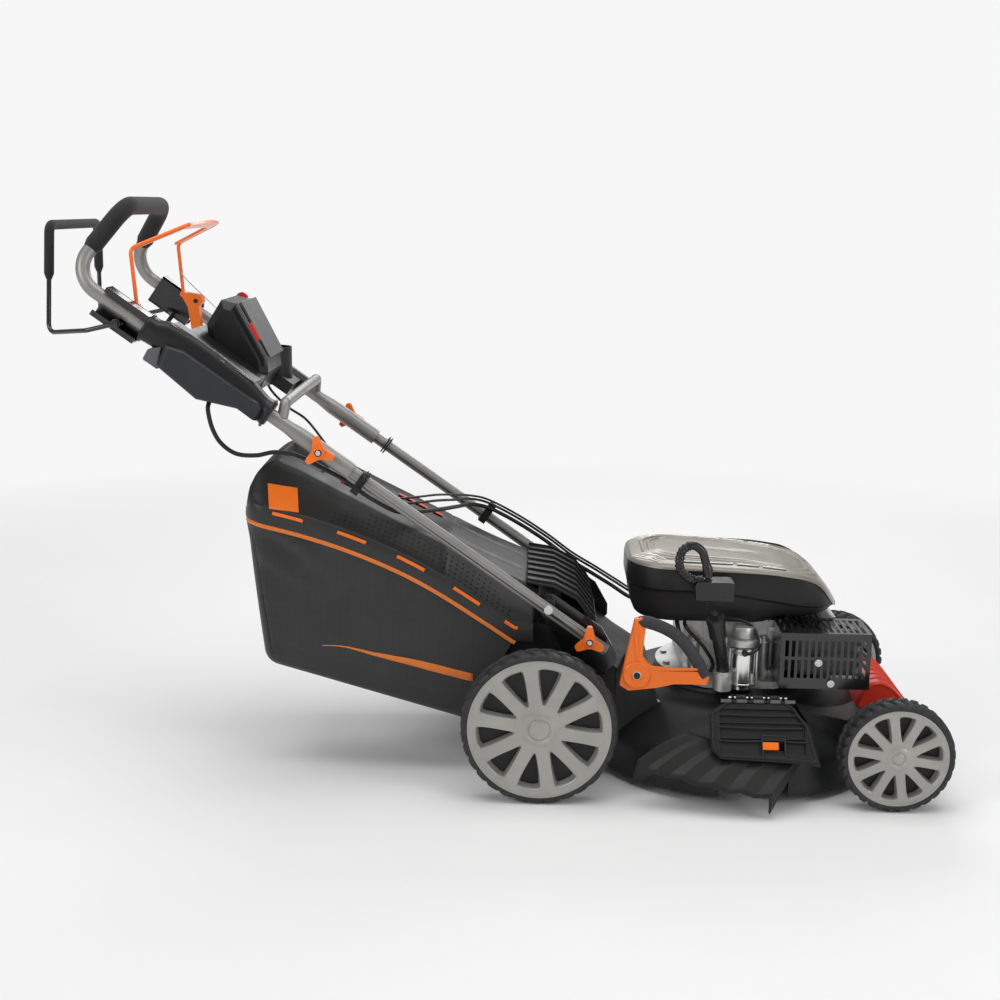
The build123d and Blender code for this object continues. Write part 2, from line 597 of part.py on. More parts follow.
HANDLE_CORNER = (-830.0, -190.0, handle_z(-830.0))
HANDLE_TOP = (-746.0, -128.0, 1035.0)
half_path = [on_tube(-342.0, -TUBE_Y), HANDLE_CORNER, HANDLE_TOP]
far_path = [(x, -y, z) for x, y, z in reversed(half_path)]
upper_tube = rod(half_path + far_path, UPPER_TUBE_R, bend=52)
for side in (-1, 1):
    y = side * TUBE_Y
    upper_tube += tube_cylinder(-430, -342, y, SLEEVE_R)
    taper = Plane(origin=on_tube(-430, y), z_dir=TUBE_DIRECTION * -1)
    upper_tube += loft([taper * Circle(SLEEVE_R), taper * Location((0, 0, 30)) * Circle(UPPER_TUBE_R)])
    upper_tube -= tube_cylinder(-610, -330, y, LOWER_TUBE_R + RUNNING_FIT)
    upper_tube -= along_y(SLEEVE_KNOB_X, handle_z(SLEEVE_KNOB_X), 4 + RUNNING_FIT, y, y + side * 20)
cross_path = [on_tube(-468.0, -TUBE_Y, 6), (-460.0, -176.0, 697.0), (-460.0, 176.0, 697.0),
    on_tube(-468.0, TUBE_Y, 6)]
cross_tube = rod(cross_path, 10, bend=10)
for side in (-1, 1):
    cross_tube -= tube_cylinder(-560, -400, side * TUBE_Y, UPPER_TUBE_R - 0.2)
upper_tube += biggest(cross_tube)
parts["upper_tube"] = biggest(upper_tube)

GRIP_START = 0.36
foam_start = tuple(Vector(*HANDLE_CORNER) + (Vector(*HANDLE_TOP) - Vector(*HANDLE_CORNER)) * GRIP_START)
foam_end = (foam_start[0], -foam_start[1], foam_start[2])
top_far = (HANDLE_TOP[0], -HANDLE_TOP[1], HANDLE_TOP[2])
foam = rod([foam_start, HANDLE_TOP, top_far, foam_end], 16, bend=52)
foam -= rod([foam_start, HANDLE_TOP, top_far, foam_end], UPPER_TUBE_R, bend=52)
parts["grip_foam"] = biggest(foam - parts["upper_tube"])

# brackets that carry the two bails, joined by a cross link
bail_brackets = tube_block(-775, -703, -206, -173, -36, 24)
bail_brackets += tube_block(-775, -703, 173, 206, -36, 24)
DRIVE_PIVOT = (-750.0, 834.0)
BRAKE_PIVOT = (-722.0, 863.0)
link_path = [on_tube(-742.0, -180.0, -27), (-740.0, -150.0, 824.0), (-730.0, 0.0, 796.0),
    (-740.0, 150.0, 824.0),
             on_tube(-742.0, 180.0, -27)]
bail_brackets += rod(link_path, 4.5, bend=24)
for side in (-1, 1):
    bail_brackets -= tube_cylinder(-800, -680, side * TUBE_Y, UPPER_TUBE_R)
    bail_brackets -= along_y(DRIVE_PIVOT[0], DRIVE_PIVOT[1], 4 + RUNNING_FIT, side * 190, side * 220)
    bail_brackets -= along_y(BRAKE_PIVOT[0], BRAKE_PIVOT[1], 3 + RUNNING_FIT, side * 160, side * 184)
parts["bail_brackets"] = biggest(bail_brackets)

# ---------------------------------------------------------------- console

console = tube_cylinder(-700, -486, -TUBE_Y, 21)
console += tube_block(-672, -528, -204, -150, 0, 34)
console += tube_block(-655, -530, -152, 92, 2, 28)
pod_outline = [(-624, 824), (-596, 868), (-568, 862), (-514, 762), (-512, 736), (-530, 702),
    (-552, 706), (-620, 792)]
pod = side_plate(pod_outline, -74, 88)
pod = chamfer(pod.edges().filter_by(GeomType.LINE).group_by(Axis.Y)[0], 14)
pod = chamfer(pod.edges().filter_by(GeomType.LINE).group_by(Axis.Y)[-1], 14)
console += pod
console += tube_cylinder(-556, -484, TUBE_Y, 21)
console += tube_block(-552, -498, 84, 180, -12, 12)
for side in (-1, 1):
    console -= tube_cylinder(-760, -440, side * TUBE_Y, UPPER_TUBE_R)
CUP = (-536.0, 128.0)
CUP_RADIUS = 35.0
CUP_BOTTOM = 694.0
CUP_TOP = 766.0
console -= along_z(CUP[0], CUP[1], CUP_RADIUS, CUP_BOTTOM, 900)
THROTTLE_PIVOT = (-568.0, 800.0)
console -= along_y(THROTTLE_PIVOT[0], THROTTLE_PIVOT[1], 4 + RUNNING_FIT, 70, 95)
parts["console"] = biggest(console)
cup = along_z(CUP[0], CUP[1], CUP_RADIUS, CUP_BOTTOM, CUP_TOP) - along_z(CUP[0], CUP[1], 32,
    CUP_BOTTOM + 4, 900)
parts["bottle_holder"] = cup

battery_outline = [(-660, 800), (-676, 762), (-608, 706), (-535, 690), (-505, 668), (-496, 690)]
battery = side_plate(battery_outline, -226, -176)
battery += side_plate([(-668, 796), (-692, 792), (-702, 774), (-676, 756)], -218, -184)
battery -= tube_cylinder(-760, -440, -TUBE_Y, 21)
parts["battery_box"] = biggest(battery - parts["console"] - parts["bail_brackets"])

# ---------------------------------------------------------------- bails and small levers

bail_path = [(DRIVE_PIVOT[0], -212.0, DRIVE_PIVOT[1]), (-800.0, -212.0, 822.0), (-886.0, -152.0, 812.0),
             (-880.0, -138.0, 1000.0), (-880.0, 138.0, 1000.0), (-886.0, 152.0, 812.0),
                 (-800.0, 212.0, 822.0),
             (DRIVE_PIVOT[0], 212.0, DRIVE_PIVOT[1])]
drive_bail = rod(bail_path, 4.2, bend=16)
for side in (-1, 1):
    drive_bail += along_y(DRIVE_PIVOT[0], DRIVE_PIVOT[1], 4, side * 194, side * 216)
    drive_bail += along_y(DRIVE_PIVOT[0], DRIVE_PIVOT[1], 7, side * 206.5, side * 216)
parts["drive_bail"] = biggest(drive_bail)
bail_foam_path = [(-883.0, -145.0, 906.0), (-880.0, -138.0, 1000.0), (-880.0, 138.0, 1000.0),
    (-883.0, 145.0, 906.0)]
bail_foam = rod(bail_foam_path, 8.5, bend=16)
parts["drive_bail_foam"] = biggest(bail_foam - parts["drive_bail"])

brake_path = [(BRAKE_PIVOT[0], -166.0, BRAKE_PIVOT[1]), (-730.0, -166.0, 962.0), (-640.0, -116.0, 1003.0),
              (-640.0, 116.0, 1003.0), (-730.0, 166.0, 962.0), (BRAKE_PIVOT[0], 166.0, BRAKE_PIVOT[1])]
brake_bail = rod(brake_path, 3.5, bend=14)
for side in (-1, 1):
    brake_bail += along_y(BRAKE_PIVOT[0], BRAKE_PIVOT[1], 3, side * 160, side * 180)
    brake_bail += along_y(BRAKE_PIVOT[0], BRAKE_PIVOT[1], 6, side * 160, side * 172.5)
band = extrude(make_face(Polyline(
    (-98, -142), (-80, -150), (6, -112), (12, -60), (14, 0), (12, 60), (6, 112), (-80, 150), (-98, 142),
    (-14, 92), (-10, 0), (-14, -92), close=True)), amount=5)
band = Plane(origin=(-640, 0, 1000), x_dir=(90, 0, 41), z_dir=(-41, 0, 90)) * band
parts["brake_bail"] = biggest(brake_bail + band)

throttle = side_plate([(-572, 792), (-562, 794), (-582, 862), (-598, 864)], 88.6, 94)
throttle += along_y(THROTTLE_PIVOT[0], THROTTLE_PIVOT[1], 9, 88.6, 94)
throttle += along_y(THROTTLE_PIVOT[0], THROTTLE_PIVOT[1], 4, 76, 90)
throttle += along_y(-590, 862, 11, 89, 101)
throttle -= pod
parts["throttle_lever"] = biggest(throttle)

LOCK_PIVOT = (-690.0, 852.0)
lock = side_plate([(-716, 858), (-708, 868), (-680, 864), (-676, 850), (-684, 842), (-682, 800),
    (-700, 796), (-706, 840)],
                  132, 156)
lock -= along_y(LOCK_PIVOT[0], LOCK_PIVOT[1], 4 + RUNNING_FIT, 120, 160)
parts["lock_lever"] = biggest(lock)
lock_arm = along_y(LOCK_PIVOT[0], LOCK_PIVOT[1], 4, 130, 173)
lock_arm += side_plate([(-716, 856), (-698, 862), (-682, 856), (-684, 836), (-712, 836)], 173, 177)
parts["bail_brackets"] = biggest(parts["bail_brackets"] + (lock_arm - tube_cylinder(-800, -620, TUBE_Y,
    UPPER_TUBE_R)))

# ---------------------------------------------------------------- knobs


def star_knob(x, z, side, tip_y, lean):
    """Three-armed knob with a threaded stud; side is -1 or +1, tip_y is the inner end of the stud."""
    seat = side * 207
    outer = side * 221
    knob = along_y(x, z, 12, seat, outer)
    for turn in (90, 210, 330):
        angle = math.radians(turn + lean)
        across = (-math.sin(angle), math.cos(angle))
        reach = (math.cos(angle), math.sin(angle))
        outline = []
        for distance, half in ((6, 10), (22, 6.5), (28, 4), (28, -4), (22, -6.5), (6, -10)):
            outline.append((x + reach[0] * distance + across[0] * half,
                z + reach[1] * distance + across[1] * half))
        knob += side_plate(outline, min(seat, outer) + 2, max(seat, outer) - 1)
    knob += along_y(x, z, 4, tip_y, outer - side)
    knob += along_y(x, z, 8, outer, side * 223)
    return knob


sleeve_tip = TUBE_Y + LOWER_TUBE_R + 0.6
lock_tip = TUBE_Y - LOWER_TUBE_R - 0.2
for name, side in (("near", -1), ("far", 1)):
    parts["sleeve_knob_" + name] = star_knob(SLEEVE_KNOB_X, handle_z(SLEEVE_KNOB_X), side,
        side * sleeve_tip, 10)
    parts["lock_knob_" + name] = star_knob(LOCK_KNOB[0], LOCK_KNOB[1], side, side * lock_tip, 0)

# ---------------------------------------------------------------- grass bag

lip_line = [(-545, 487), (-440, 462), (-350, 434), (-262, 398), (-190, 360), (-120, 316)]
lip_end = (mouth_x(268.0), 268.0)
top_line = [(mouth_x(348.0), 348.0), (-120, 404), (-300, 492), (-440, 563), (-486, 584), (-512, 578),
    (-536, 536)]


def lid_solid(gap):
    """Closed body of the lid, shrunk by gap, with sloping shoulders."""
    outline = make_face(Polyline(*lip_line, lip_end, *top_line, close=True))
    if gap:
        outline = offset(outline, amount=-gap, kind=Kind.INTERSECTION)
    plane = Plane(origin=(0, BAG_HALF - gap, 0), x_dir=(1, 0, 0), z_dir=(0, -1, 0))
    body = extrude(plane * outline, amount=2 * (BAG_HALF - gap))
    for side in (-1, 1):
        sections = []
        for x in (70.0, -620.0):
            low = 276.0 - 0.42 * x + 26 - gap
            high = 350.0 - 0.483 * x - gap
            station = Plane(origin=(x, 0, 0), x_dir=(0, 1, 0), z_dir=(1, 0, 0))
            sections.append(station * make_face(Polyline(
                (side * (BAG_HALF + 2 - gap), low), (side * (122 - gap), high + 12),
                (side * (BAG_HALF + 60), high + 60), (side * (BAG_HALF + 60), low), close=True)))
        body -= loft(sections)
    return body


lid = lid_solid(0) - lid_solid(LID_WALL)
lid -= side_plate([(-538, 484), (-440, 456), (-350, 428), (-262, 392), (-190, 354), (-120, 310), (-80, 286),
                   (-60, 300), (-120, 328), (-190, 370), (-262, 408), (-350, 444), (-440, 472), (-532, 494)],
                  -BAG_HALF + LID_WALL, BAG_HALF - LID_WALL)
lid -= side_plate([(mouth_x(276), 276), (mouth_x(340), 340), (-2, 340), (20, 276)], -BAG_HALF + 8,
    BAG_HALF - 8)
parts["bag_lid"] = biggest(lid)

cloth_outline = lip_line + [lip_end, (mouth_x(106.0), 106.0), (-508, 211)]
cloth = side_plate(cloth_outline, -BAG_HALF, BAG_HALF)
inner_cloth = [(-542, 500), (-440, 475), (-350, 447), (-262, 411), (-190, 373), (-120, 329), (-10, 275),
               (mouth_x(108.4) + 20, 108.4), (-506, 213)]
cloth -= side_plate(inner_cloth, -BAG_HALF + BAG_CLOTH, BAG_HALF - BAG_CLOTH)
parts["bag_fabric"] = biggest(cloth)

# ---------------------------------------------------------------- cables


def cord(points, radius):
    """Cable along straight runs joined by arcs as large as the runs allow."""
    corners = [Vector(*point) for point in points]
    radii = []
    for before, corner, after in zip(corners, corners[1:], corners[2:]):
        turn = math.radians((corner - before).get_angle(after - corner))
        shorter = min((corner - before).length, (after - corner).length)
        radii.append(0.45 * shorter / math.tan(turn / 2))
    path = FilletPolyline(*points, radius=radii)
    start = Plane(origin=points[0], z_dir=corners[1] - corners[0])
    return sweep(start * Circle(radius), path=path)


HARNESS_R = 4.0
CABLE_R = 2.5
clip_x = -322.0
harness_hold = on_tube(clip_x, -190.0, -20)
cable_hold = on_tube(clip_x, -168.0, -14)
harness_upper = cord([
    (-590.0, -215.0, 696.0), (-586.0, -215.0, 664.0), (-572.0, -215.0, 632.0), (-545.0, -214.0, 610.0),
    (-510.0, -210.0, 606.0), (-476.0, -203.0, 616.0), (-440.0, -195.0, 610.0), (-400.0, -190.5, 586.0),
    on_tube(-350.0, -190.0, -20.5), harness_hold], HARNESS_R)
parts["harness_upper"] = biggest(harness_upper - parts["battery_box"])
harness_lower = cord([
    harness_hold, on_tube(-294.0, -190.0, -19.5), (-262.0, -168.0, 500.0), (-230.0, -112.0, 490.0),
    (-196.0, -30.0, 477.0), (-168.0, 60.0, 464.0), (-146.0, 130.0, 454.0), (-110.0, 165.0, 440.0),
    (-50.0, 169.5, 408.0), (10.0, 169.5, 371.0), (60.0, 169.5, 332.0), (104.0, 167.0, 306.0),
        (142.0, 150.0, 288.0),
    (178.0, 112.0, 272.0), (222.0, 82.0, 262.0), (267.2, 72.0, 259.0)], HARNESS_R)
parts["harness_lower"] = biggest(harness_lower - parts["harness_upper"] - parts["engine_block"])
control_upper = cord([
    (-536.0, 60.0, 712.0), (-528.0, 60.0, 680.0), (-496.0, 50.0, 656.0), (-456.0, 10.0, 640.0),
    (-416.0, -60.0, 616.0), (-380.0, -126.0, 588.0), on_tube(-350.0, -164.0, -13.5), cable_hold], CABLE_R)
parts["control_cable_upper"] = biggest(control_upper - parts["console"])
control_lower = cord([
    cable_hold, on_tube(-296.0, -170.0, -13.8), (-266.0, -152.0, 512.0), (-234.0, -100.0, 504.0),
    (-200.0, -20.0, 492.0), (-170.0, 64.0, 477.0), (-148.0, 128.0, 466.0), (-112.0, 164.0, 451.0),
    (-50.0, 169.5, 418.0), (10.0, 169.5, 381.0), (62.0, 169.5, 342.0), (112.0, 163.0, 314.0),
        (148.0, 140.0, 297.0),
    (184.0, 100.0, 283.0), (226.0, 68.0, 276.0), (267.2, 58.0, 274.0)], CABLE_R)
parts["control_cable_lower"] = biggest(control_lower - parts["control_cable_upper"] - parts["engine_block"])

# clips: rings round the tubes with a small eye for the cables
near_clip = tube_cylinder(-328, -316, -TUBE_Y, 14)
near_clip += tube_block(-328, -316, -197, -162, -30, -8)
near_clip -= tube_cylinder(-360, -300, -TUBE_Y, LOWER_TUBE_R)
far_clip = tube_cylinder(-124, -112, TUBE_Y, 14)
far_clip += tube_block(-124, -112, 161, 180, -12, 32)
far_clip -= tube_cylinder(-150, -90, TUBE_Y, LOWER_TUBE_R)
for name in ("harness_upper", "harness_lower", "control_cable_upper", "control_cable_lower"):
    near_clip -= parts[name]
    far_clip -= parts[name]
parts["cable_clips"] = Compound([biggest(near_clip), biggest(far_clip)])

# ---------------------------------------------------------------- fasteners fixed to the deck

fasteners = []
for side in (-1, 1):
    bolt = along_y(FOLD_PIVOT[0], FOLD_PIVOT[1], 4, side * (TUNNEL_HALF + 0.5), side * 204)
    bolt += along_y(FOLD_PIVOT[0], FOLD_PIVOT[1], 8, side * 201.5, side * 206)
    fasteners.append(bolt)
fasteners.append(along_x(FLAP_HINGE[0], FLAP_HINGE[1], 3, 338, 442))
fasteners.append(along_y(REAR_HINGE[0], REAR_HINGE[1], 3, -166, 166))
for x, z in ((500, 246), (524, 207.5)):
    screw = along_y(x, z, 3, -206, -187)
    screw += along_y(x, z, 6.5, -211, -206)
    fasteners.append(screw)
parts["fasteners"] = Compound([biggest(item) for item in fasteners])

# ---------------------------------------------------------------- export

os.makedirs("parts", exist_ok=True)
for name, shape in parts.items():
    placed = Location(ORIGIN_SHIFT) * shape
    placed.label = name
    export_step(placed, "parts/" + name + ".step")
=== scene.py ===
import json
import math

import bmesh
import bpy
from mathutils import Matrix, Vector, noise


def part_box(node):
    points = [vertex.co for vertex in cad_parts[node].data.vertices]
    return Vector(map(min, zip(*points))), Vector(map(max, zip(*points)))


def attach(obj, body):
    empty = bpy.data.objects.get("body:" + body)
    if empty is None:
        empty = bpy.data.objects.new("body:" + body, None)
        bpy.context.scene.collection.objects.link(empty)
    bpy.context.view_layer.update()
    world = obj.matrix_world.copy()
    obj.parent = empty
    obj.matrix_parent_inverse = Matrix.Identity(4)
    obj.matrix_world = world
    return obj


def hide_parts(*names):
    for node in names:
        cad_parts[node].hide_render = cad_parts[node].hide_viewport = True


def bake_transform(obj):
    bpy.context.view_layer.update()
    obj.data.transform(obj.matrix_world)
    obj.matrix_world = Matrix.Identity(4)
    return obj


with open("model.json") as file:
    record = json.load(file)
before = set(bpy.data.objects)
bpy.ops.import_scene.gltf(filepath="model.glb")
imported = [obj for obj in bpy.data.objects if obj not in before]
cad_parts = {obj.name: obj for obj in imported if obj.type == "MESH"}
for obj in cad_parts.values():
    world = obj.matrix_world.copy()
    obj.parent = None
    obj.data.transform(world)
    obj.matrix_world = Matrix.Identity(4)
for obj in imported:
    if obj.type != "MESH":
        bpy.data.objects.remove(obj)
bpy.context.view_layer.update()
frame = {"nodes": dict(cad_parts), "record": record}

NODES = frame["nodes"]

# Pieces are drawn in millimetres with the rear axle at X = 0, the centre plane at Y = 0 and the
# ground at Z = 0, and TO_FRAME carries them into the shared frame in metres.
TO_FRAME = Matrix.Translation((0.079, 0.022, 0.0)) @ Matrix.Scale(0.001, 4)
FRAME_SHIFT = Vector((79, 22, 0))

# The two sides of the machine. The second leaves a shape where it was.
MIRRORS = [Matrix.Diagonal((1, side, 1, 1)) for side in (-1, 1)]
EVEN = (1.0, 1.0, 1.0)
FINISH = {}


# ---------------------------------------------------------------- materials


class Finish:
    """A procedural material. Patterns are laid out in object space, in metres."""

    def __init__(self, name, colour, rough, metal=0.0, coat=0.0, sheen=0.0):
        FINISH[name] = self
        self.material = bpy.data.materials.new(name)
        self.material.use_nodes = True
        self.material.diffuse_color = (*colour, 1.0)
        self.tree = self.material.node_tree
        self.shader = self.tree.nodes["Principled BSDF"]
        self.colour = colour
        self.rough = rough
        self.height = None
        self.place = self.node("TexCoord").outputs["Object"]
        self.set(self.shader, Base_Color=(*colour, 1.0), Roughness=rough, Metallic=metal, Coat_Weight=coat,
                 Coat_Roughness=0.18, Sheen_Weight=sheen, Sheen_Roughness=0.5)

    def set(self, node, **values):
        """Sets inputs by name, with an underscore for each space."""
        for name, value in values.items():
            node.inputs[name.replace("_", " ")].default_value = value
        return node

    def node(self, kind, **values):
        return self.set(self.tree.nodes.new("ShaderNode" + kind), **values)

    def link(self, source, target):
        self.tree.links.new(source, target)

    def noise(self, scale, detail=3.0, stretch=EVEN):
        mapping = self.node("Mapping", Scale=stretch)
        self.link(self.place, mapping.inputs["Vector"])
        node = self.node("TexNoise", Scale=scale, Detail=detail, Roughness=0.55)
        self.link(mapping.outputs["Vector"], node.inputs["Vector"])
        return node.outputs["Fac"]

    def wave(self, scale, direction, distortion):
        node = self.node("TexWave", Scale=scale, Distortion=distortion)
        node.bands_direction = direction
        self.link(self.place, node.inputs["Vector"])
        return node.outputs["Fac"]

    def cells(self, scale):
        node = self.node("TexVoronoi", Scale=scale)
        self.link(self.place, node.inputs["Vector"])
        return node.outputs["Distance"]

    def ramp(self, value, stops):
        node = self.node("ValToRGB")
        elements = node.color_ramp.elements
        while len(elements) < len(stops):
            elements.new(0.5)
        for element, (position, shade) in zip(elements, stops):
            element.position = position
            element.color = (*shade, 1.0)
        self.link(value, node.inputs["Fac"])
        return node.outputs["Color"]

    def mottle(self, scale, spread, detail=3.0, stretch=EVEN):
        """Colour that drifts lighter and darker."""
        dark = tuple(c * (1 - spread) for c in self.colour)
        light = tuple(min(1.0, c * (1 + spread)) for c in self.colour)
        shade = self.ramp(self.noise(scale, detail, stretch), [(0.3, dark), (0.7, light)])
        self.link(shade, self.shader.inputs["Base Color"])

    def smudge(self, scale, spread, stretch=EVEN):
        """Roughness that varies, as handling and moulding leave it."""
        node = self.node("MapRange", From_Min=0.3, From_Max=0.7, To_Min=max(0.02, self.rough - spread),
                         To_Max=min(1.0, self.rough + spread))
        self.link(self.noise(scale, 4.0, stretch), node.inputs["Value"])
        self.link(node.outputs["Result"], self.shader.inputs["Roughness"])

    def bump(self, value, depth, strength):
        """Adds relief of about depth metres."""
        node = self.node("Bump", Strength=strength, Distance=depth)
        self.link(value, node.inputs["Height"])
        if self.height is not None:
            self.link(self.height, node.inputs["Normal"])
        self.height = node.outputs["Normal"]
        self.link(self.height, self.shader.inputs["Normal"])

    def product(self, first, second):
        node = self.node("Math")
        node.operation = "MULTIPLY"
        self.link(first, node.inputs[0])
        self.link(second, node.inputs[1])
        return node.outputs["Value"]


def moulded(name, colour, rough, grain=900.0, depth=0.00012, spread=0.12, coat=0.0):
    """Moulded plastic with a fine spark-eroded grain."""
    finish = Finish(name, colour, rough, coat=coat)
    finish.set(finish.shader, Specular_IOR_Level=0.34)
    finish.mottle(14.0, spread)
    finish.smudge(22.0, 0.06)
    finish.bump(finish.noise(grain, 2.0), depth, 0.35)


def metallic(name, colour, rough, metal, grain=1500.0, depth=0.00005, spread=0.08, coat=0.0, stretch=EVEN):
    """Painted or bare metal with a faint orange peel and handling marks."""
    finish = Finish(name, colour, rough, metal=metal, coat=coat)
    finish.mottle(20.0, spread, 4.0, stretch)
    finish.smudge(35.0, 0.07, stretch)
    finish.bump(finish.noise(grain, 2.0, stretch), depth, 0.3)


metallic("handle_paint", (0.27, 0.265, 0.25), 0.38, 0.45)
metallic("rim_silver", (0.36, 0.35, 0.325), 0.38, 0.35, grain=700.0, depth=0.0001)
metallic("cover_paint", (0.235, 0.215, 0.18), 0.42, 0.35, coat=0.35)
metallic("cast_aluminium", (0.56, 0.56, 0.55), 0.42, 0.85, 420.0, 0.0004, 0.16)
metallic("machined_steel", (0.56, 0.56, 0.56), 0.26, 0.95)
metallic("starter_steel", (0.75, 0.75, 0.74), 0.2, 0.97, stretch=(1.0, 1.0, 0.05))
metallic("zinc_steel", (0.62, 0.63, 0.62), 0.3, 0.95)
metallic("blade_steel", (0.16, 0.16, 0.17), 0.42, 0.6)
metallic("gearbox_metal", (0.2, 0.2, 0.21), 0.45, 0.6, 500.0, 0.0003)
# Dark steel for the screw washers; the same finish is the painted shadow line along each cover slot.
metallic("steel_dark", (0.11, 0.11, 0.115), 0.45, 0.7)
metallic("guard_paint", (0.0075, 0.0075, 0.008), 0.22, 0.2, coat=0.7)
moulded("deck_paint", (0.011, 0.0115, 0.013), 0.42, 600.0, 0.0001, 0.15)
moulded("black_plastic", (0.012, 0.012, 0.013), 0.46)
moulded("console_plastic", (0.011, 0.011, 0.0115), 0.36)
moulded("shroud_plastic", (0.011, 0.011, 0.0115), 0.38, 1100.0)
moulded("lid_plastic", (0.013, 0.012, 0.0115), 0.48)
moulded("battery_cap", (0.1, 0.1, 0.105), 0.42)
moulded("chute_plastic", (0.013, 0.0125, 0.012), 0.5, 700.0, 0.00015)
moulded("shroud_lower", (0.017, 0.017, 0.0175), 0.5, 1100.0)
# Pale bronze for the chevron ridges and the bars by the status lights; the same finish is the painted
# highlight line along each cover slot.
metallic("pale_bronze_and_highlight", (0.72, 0.69, 0.62), 0.3, 0.5)
moulded("lid_front", (0.03, 0.028, 0.03), 0.42)
moulded("lid_band", (0.028, 0.0275, 0.029), 0.4)
moulded("battery_plastic", (0.02, 0.023, 0.028), 0.4)
moulded("filler_plastic", (0.012, 0.012, 0.013), 0.28, coat=0.3)
moulded("bumper_plastic", (0.74, 0.055, 0.02), 0.36, spread=0.08, coat=0.2)
moulded("orange_plastic", (0.87, 0.165, 0.004), 0.34, spread=0.05, coat=0.3)
moulded("orange_rod", (0.87, 0.145, 0.006), 0.3, 1400.0, 0.00006, 0.05, 0.4)
moulded("red_plastic", (0.6, 0.032, 0.014), 0.38, spread=0.06)
moulded("cable_jacket", (0.012, 0.012, 0.013), 0.4, 1600.0, 0.00006)

foam = Finish("foam", (0.009, 0.009, 0.0095), 0.86, sheen=0.12)
foam.mottle(40.0, 0.25)
foam.bump(foam.cells(850.0), 0.0005, 0.7)

grip = Finish("soft_grip", (0.024, 0.025, 0.028), 0.62, sheen=0.1)
grip.mottle(30.0, 0.12)
grip.bump(grip.noise(1300.0, 3.0), 0.0002, 0.5)

rubber = Finish("tyre_rubber", (0.018, 0.0185, 0.02), 0.58)
rubber.mottle(26.0, 0.25, 5.0)
rubber.smudge(18.0, 0.1)
rubber.bump(rubber.noise(520.0, 4.0), 0.0004, 0.45)


def woven(name, colour, rough, pitch, sheen):
    """Fine mesh cloth: two crossing sets of threads, with slubs and a soft sheen."""
    finish = Finish(name, colour, rough, sheen=sheen)
    threads = 0.5 / pitch / math.pi
    cross = finish.product(finish.wave(threads, "X", 0.4), finish.wave(threads, "Z", 0.4))
    dark = tuple(c * 0.35 for c in colour)
    light = tuple(c * 1.9 for c in colour)
    finish.link(finish.ramp(cross, [(0.05, dark), (0.75, light)]), finish.shader.inputs["Base Color"])
    finish.smudge(16.0, 0.08)
    finish.bump(cross, 0.0006, 0.6)
    finish.bump(finish.noise(70.0, 5.0), 0.0012, 0.3)


woven("bag_mesh", (0.015, 0.0155, 0.017), 0.6, 0.0011, 0.35)
woven("bag_base", (0.011, 0.011, 0.012), 0.42, 0.0007, 0.15)
woven("piping", (0.93, 0.22, 0.01), 0.5, 0.0009, 0.3)
woven("rope", (0.1, 0.1, 0.1), 0.8, 0.0008, 0.3)

glow = Finish("glow", (0.9, 0.09, 0.02), 0.4)
glow.mottle(90.0, 0.3)
glow.set(glow.shader, Emission_Color=(1.0, 0.13, 0.03, 1.0), Emission_Strength=0.8)

# Near-black painted shade for the lid's vent holes, which are drawn as discs and not cut.
painted_hole_shade = Finish("painted_hole_shade", (0.004, 0.004, 0.004), 0.8)
painted_hole_shade.mottle(200.0, 0.3)


# ---------------------------------------------------------------- mesh tools


def spline(points, count):
    """Points along a Catmull-Rom curve through the given ones."""
    knots = [Vector(point) for point in points]
    knots = [knots[0] * 2 - knots[1]] + knots + [knots[-1] * 2 - knots[-2]]
    spans = len(knots) - 3
    curve = []
    for index in range(count):
        place = index * spans / (count - 1)
        step = min(int(place), spans - 1)
        t = place - step
        a, b, c, d = knots[step:step + 4]
        curve.append(0.5 * ((2 * b) + (c - a) * t + (2 * a - 5 * b + 4 * c - d) * t * t
                            + (3 * b - a - 3 * c + d) * t * t * t))
    return curve


def rounded(points, radius, steps=8):
    """The corners of a path replaced by arcs of the given radius."""
    corners = [Vector(point) for point in points]
    path = [corners[0]]
    for before, corner, after in zip(corners, corners[1:], corners[2:]):
        back = (before - corner).normalized()
        ahead = (after - corner).normalized()
        half = back.angle(ahead) / 2
        reach = min(radius / math.tan(half), 0.49 * (before - corner).length, 0.49 * (after - corner).length)
        start = corner + back * reach
        end = corner + ahead * reach
        middle = corner + (back + ahead).normalized() * (reach / math.cos(half))
        spoke_a = start - middle
        spoke_b = end - middle
        sweep = spoke_a.angle(spoke_b)
        for step in range(steps + 1):
            t = step / steps
            weight_a = math.sin((1 - t) * sweep) / math.sin(sweep)
            weight_b = math.sin(t * sweep) / math.sin(sweep)
            path.append(middle + spoke_a * weight_a + spoke_b * weight_b)
    path.append(corners[-1])
    return path


def smooth(value, low=0.0, high=1.0):
    """0 below low, 1 above high, and an eased step between."""
    t = min(1.0, max(0.0, (value - low) / (high - low)))
    return t * t * (3 - 2 * t)


def mix(low, high, share):
    return low * (1 - share) + high * share


def denser(path, count):
    """A path with count steps in place of each one."""
    return [p.lerp(q, n / count) for p, q in zip(path, path[1:]) for n in range(count)] + [path[-1]]


def circle(count):
    """Angles round one turn."""
    return [2 * math.pi * n / count for n in range(count)]


def between(pairs, x):
    """Height at x on a line given as (x, height) pairs in rising or falling x."""
    pairs = sorted(pairs)
    if x <= pairs[0][0]:
        return pairs[0][1]
    for (x0, z0), (x1, z1) in zip(pairs, pairs[1:]):
        if x <= x1:
            return z0 + (z1 - z0) * (x - x0) / (x1 - x0)
    return pairs[-1][1]


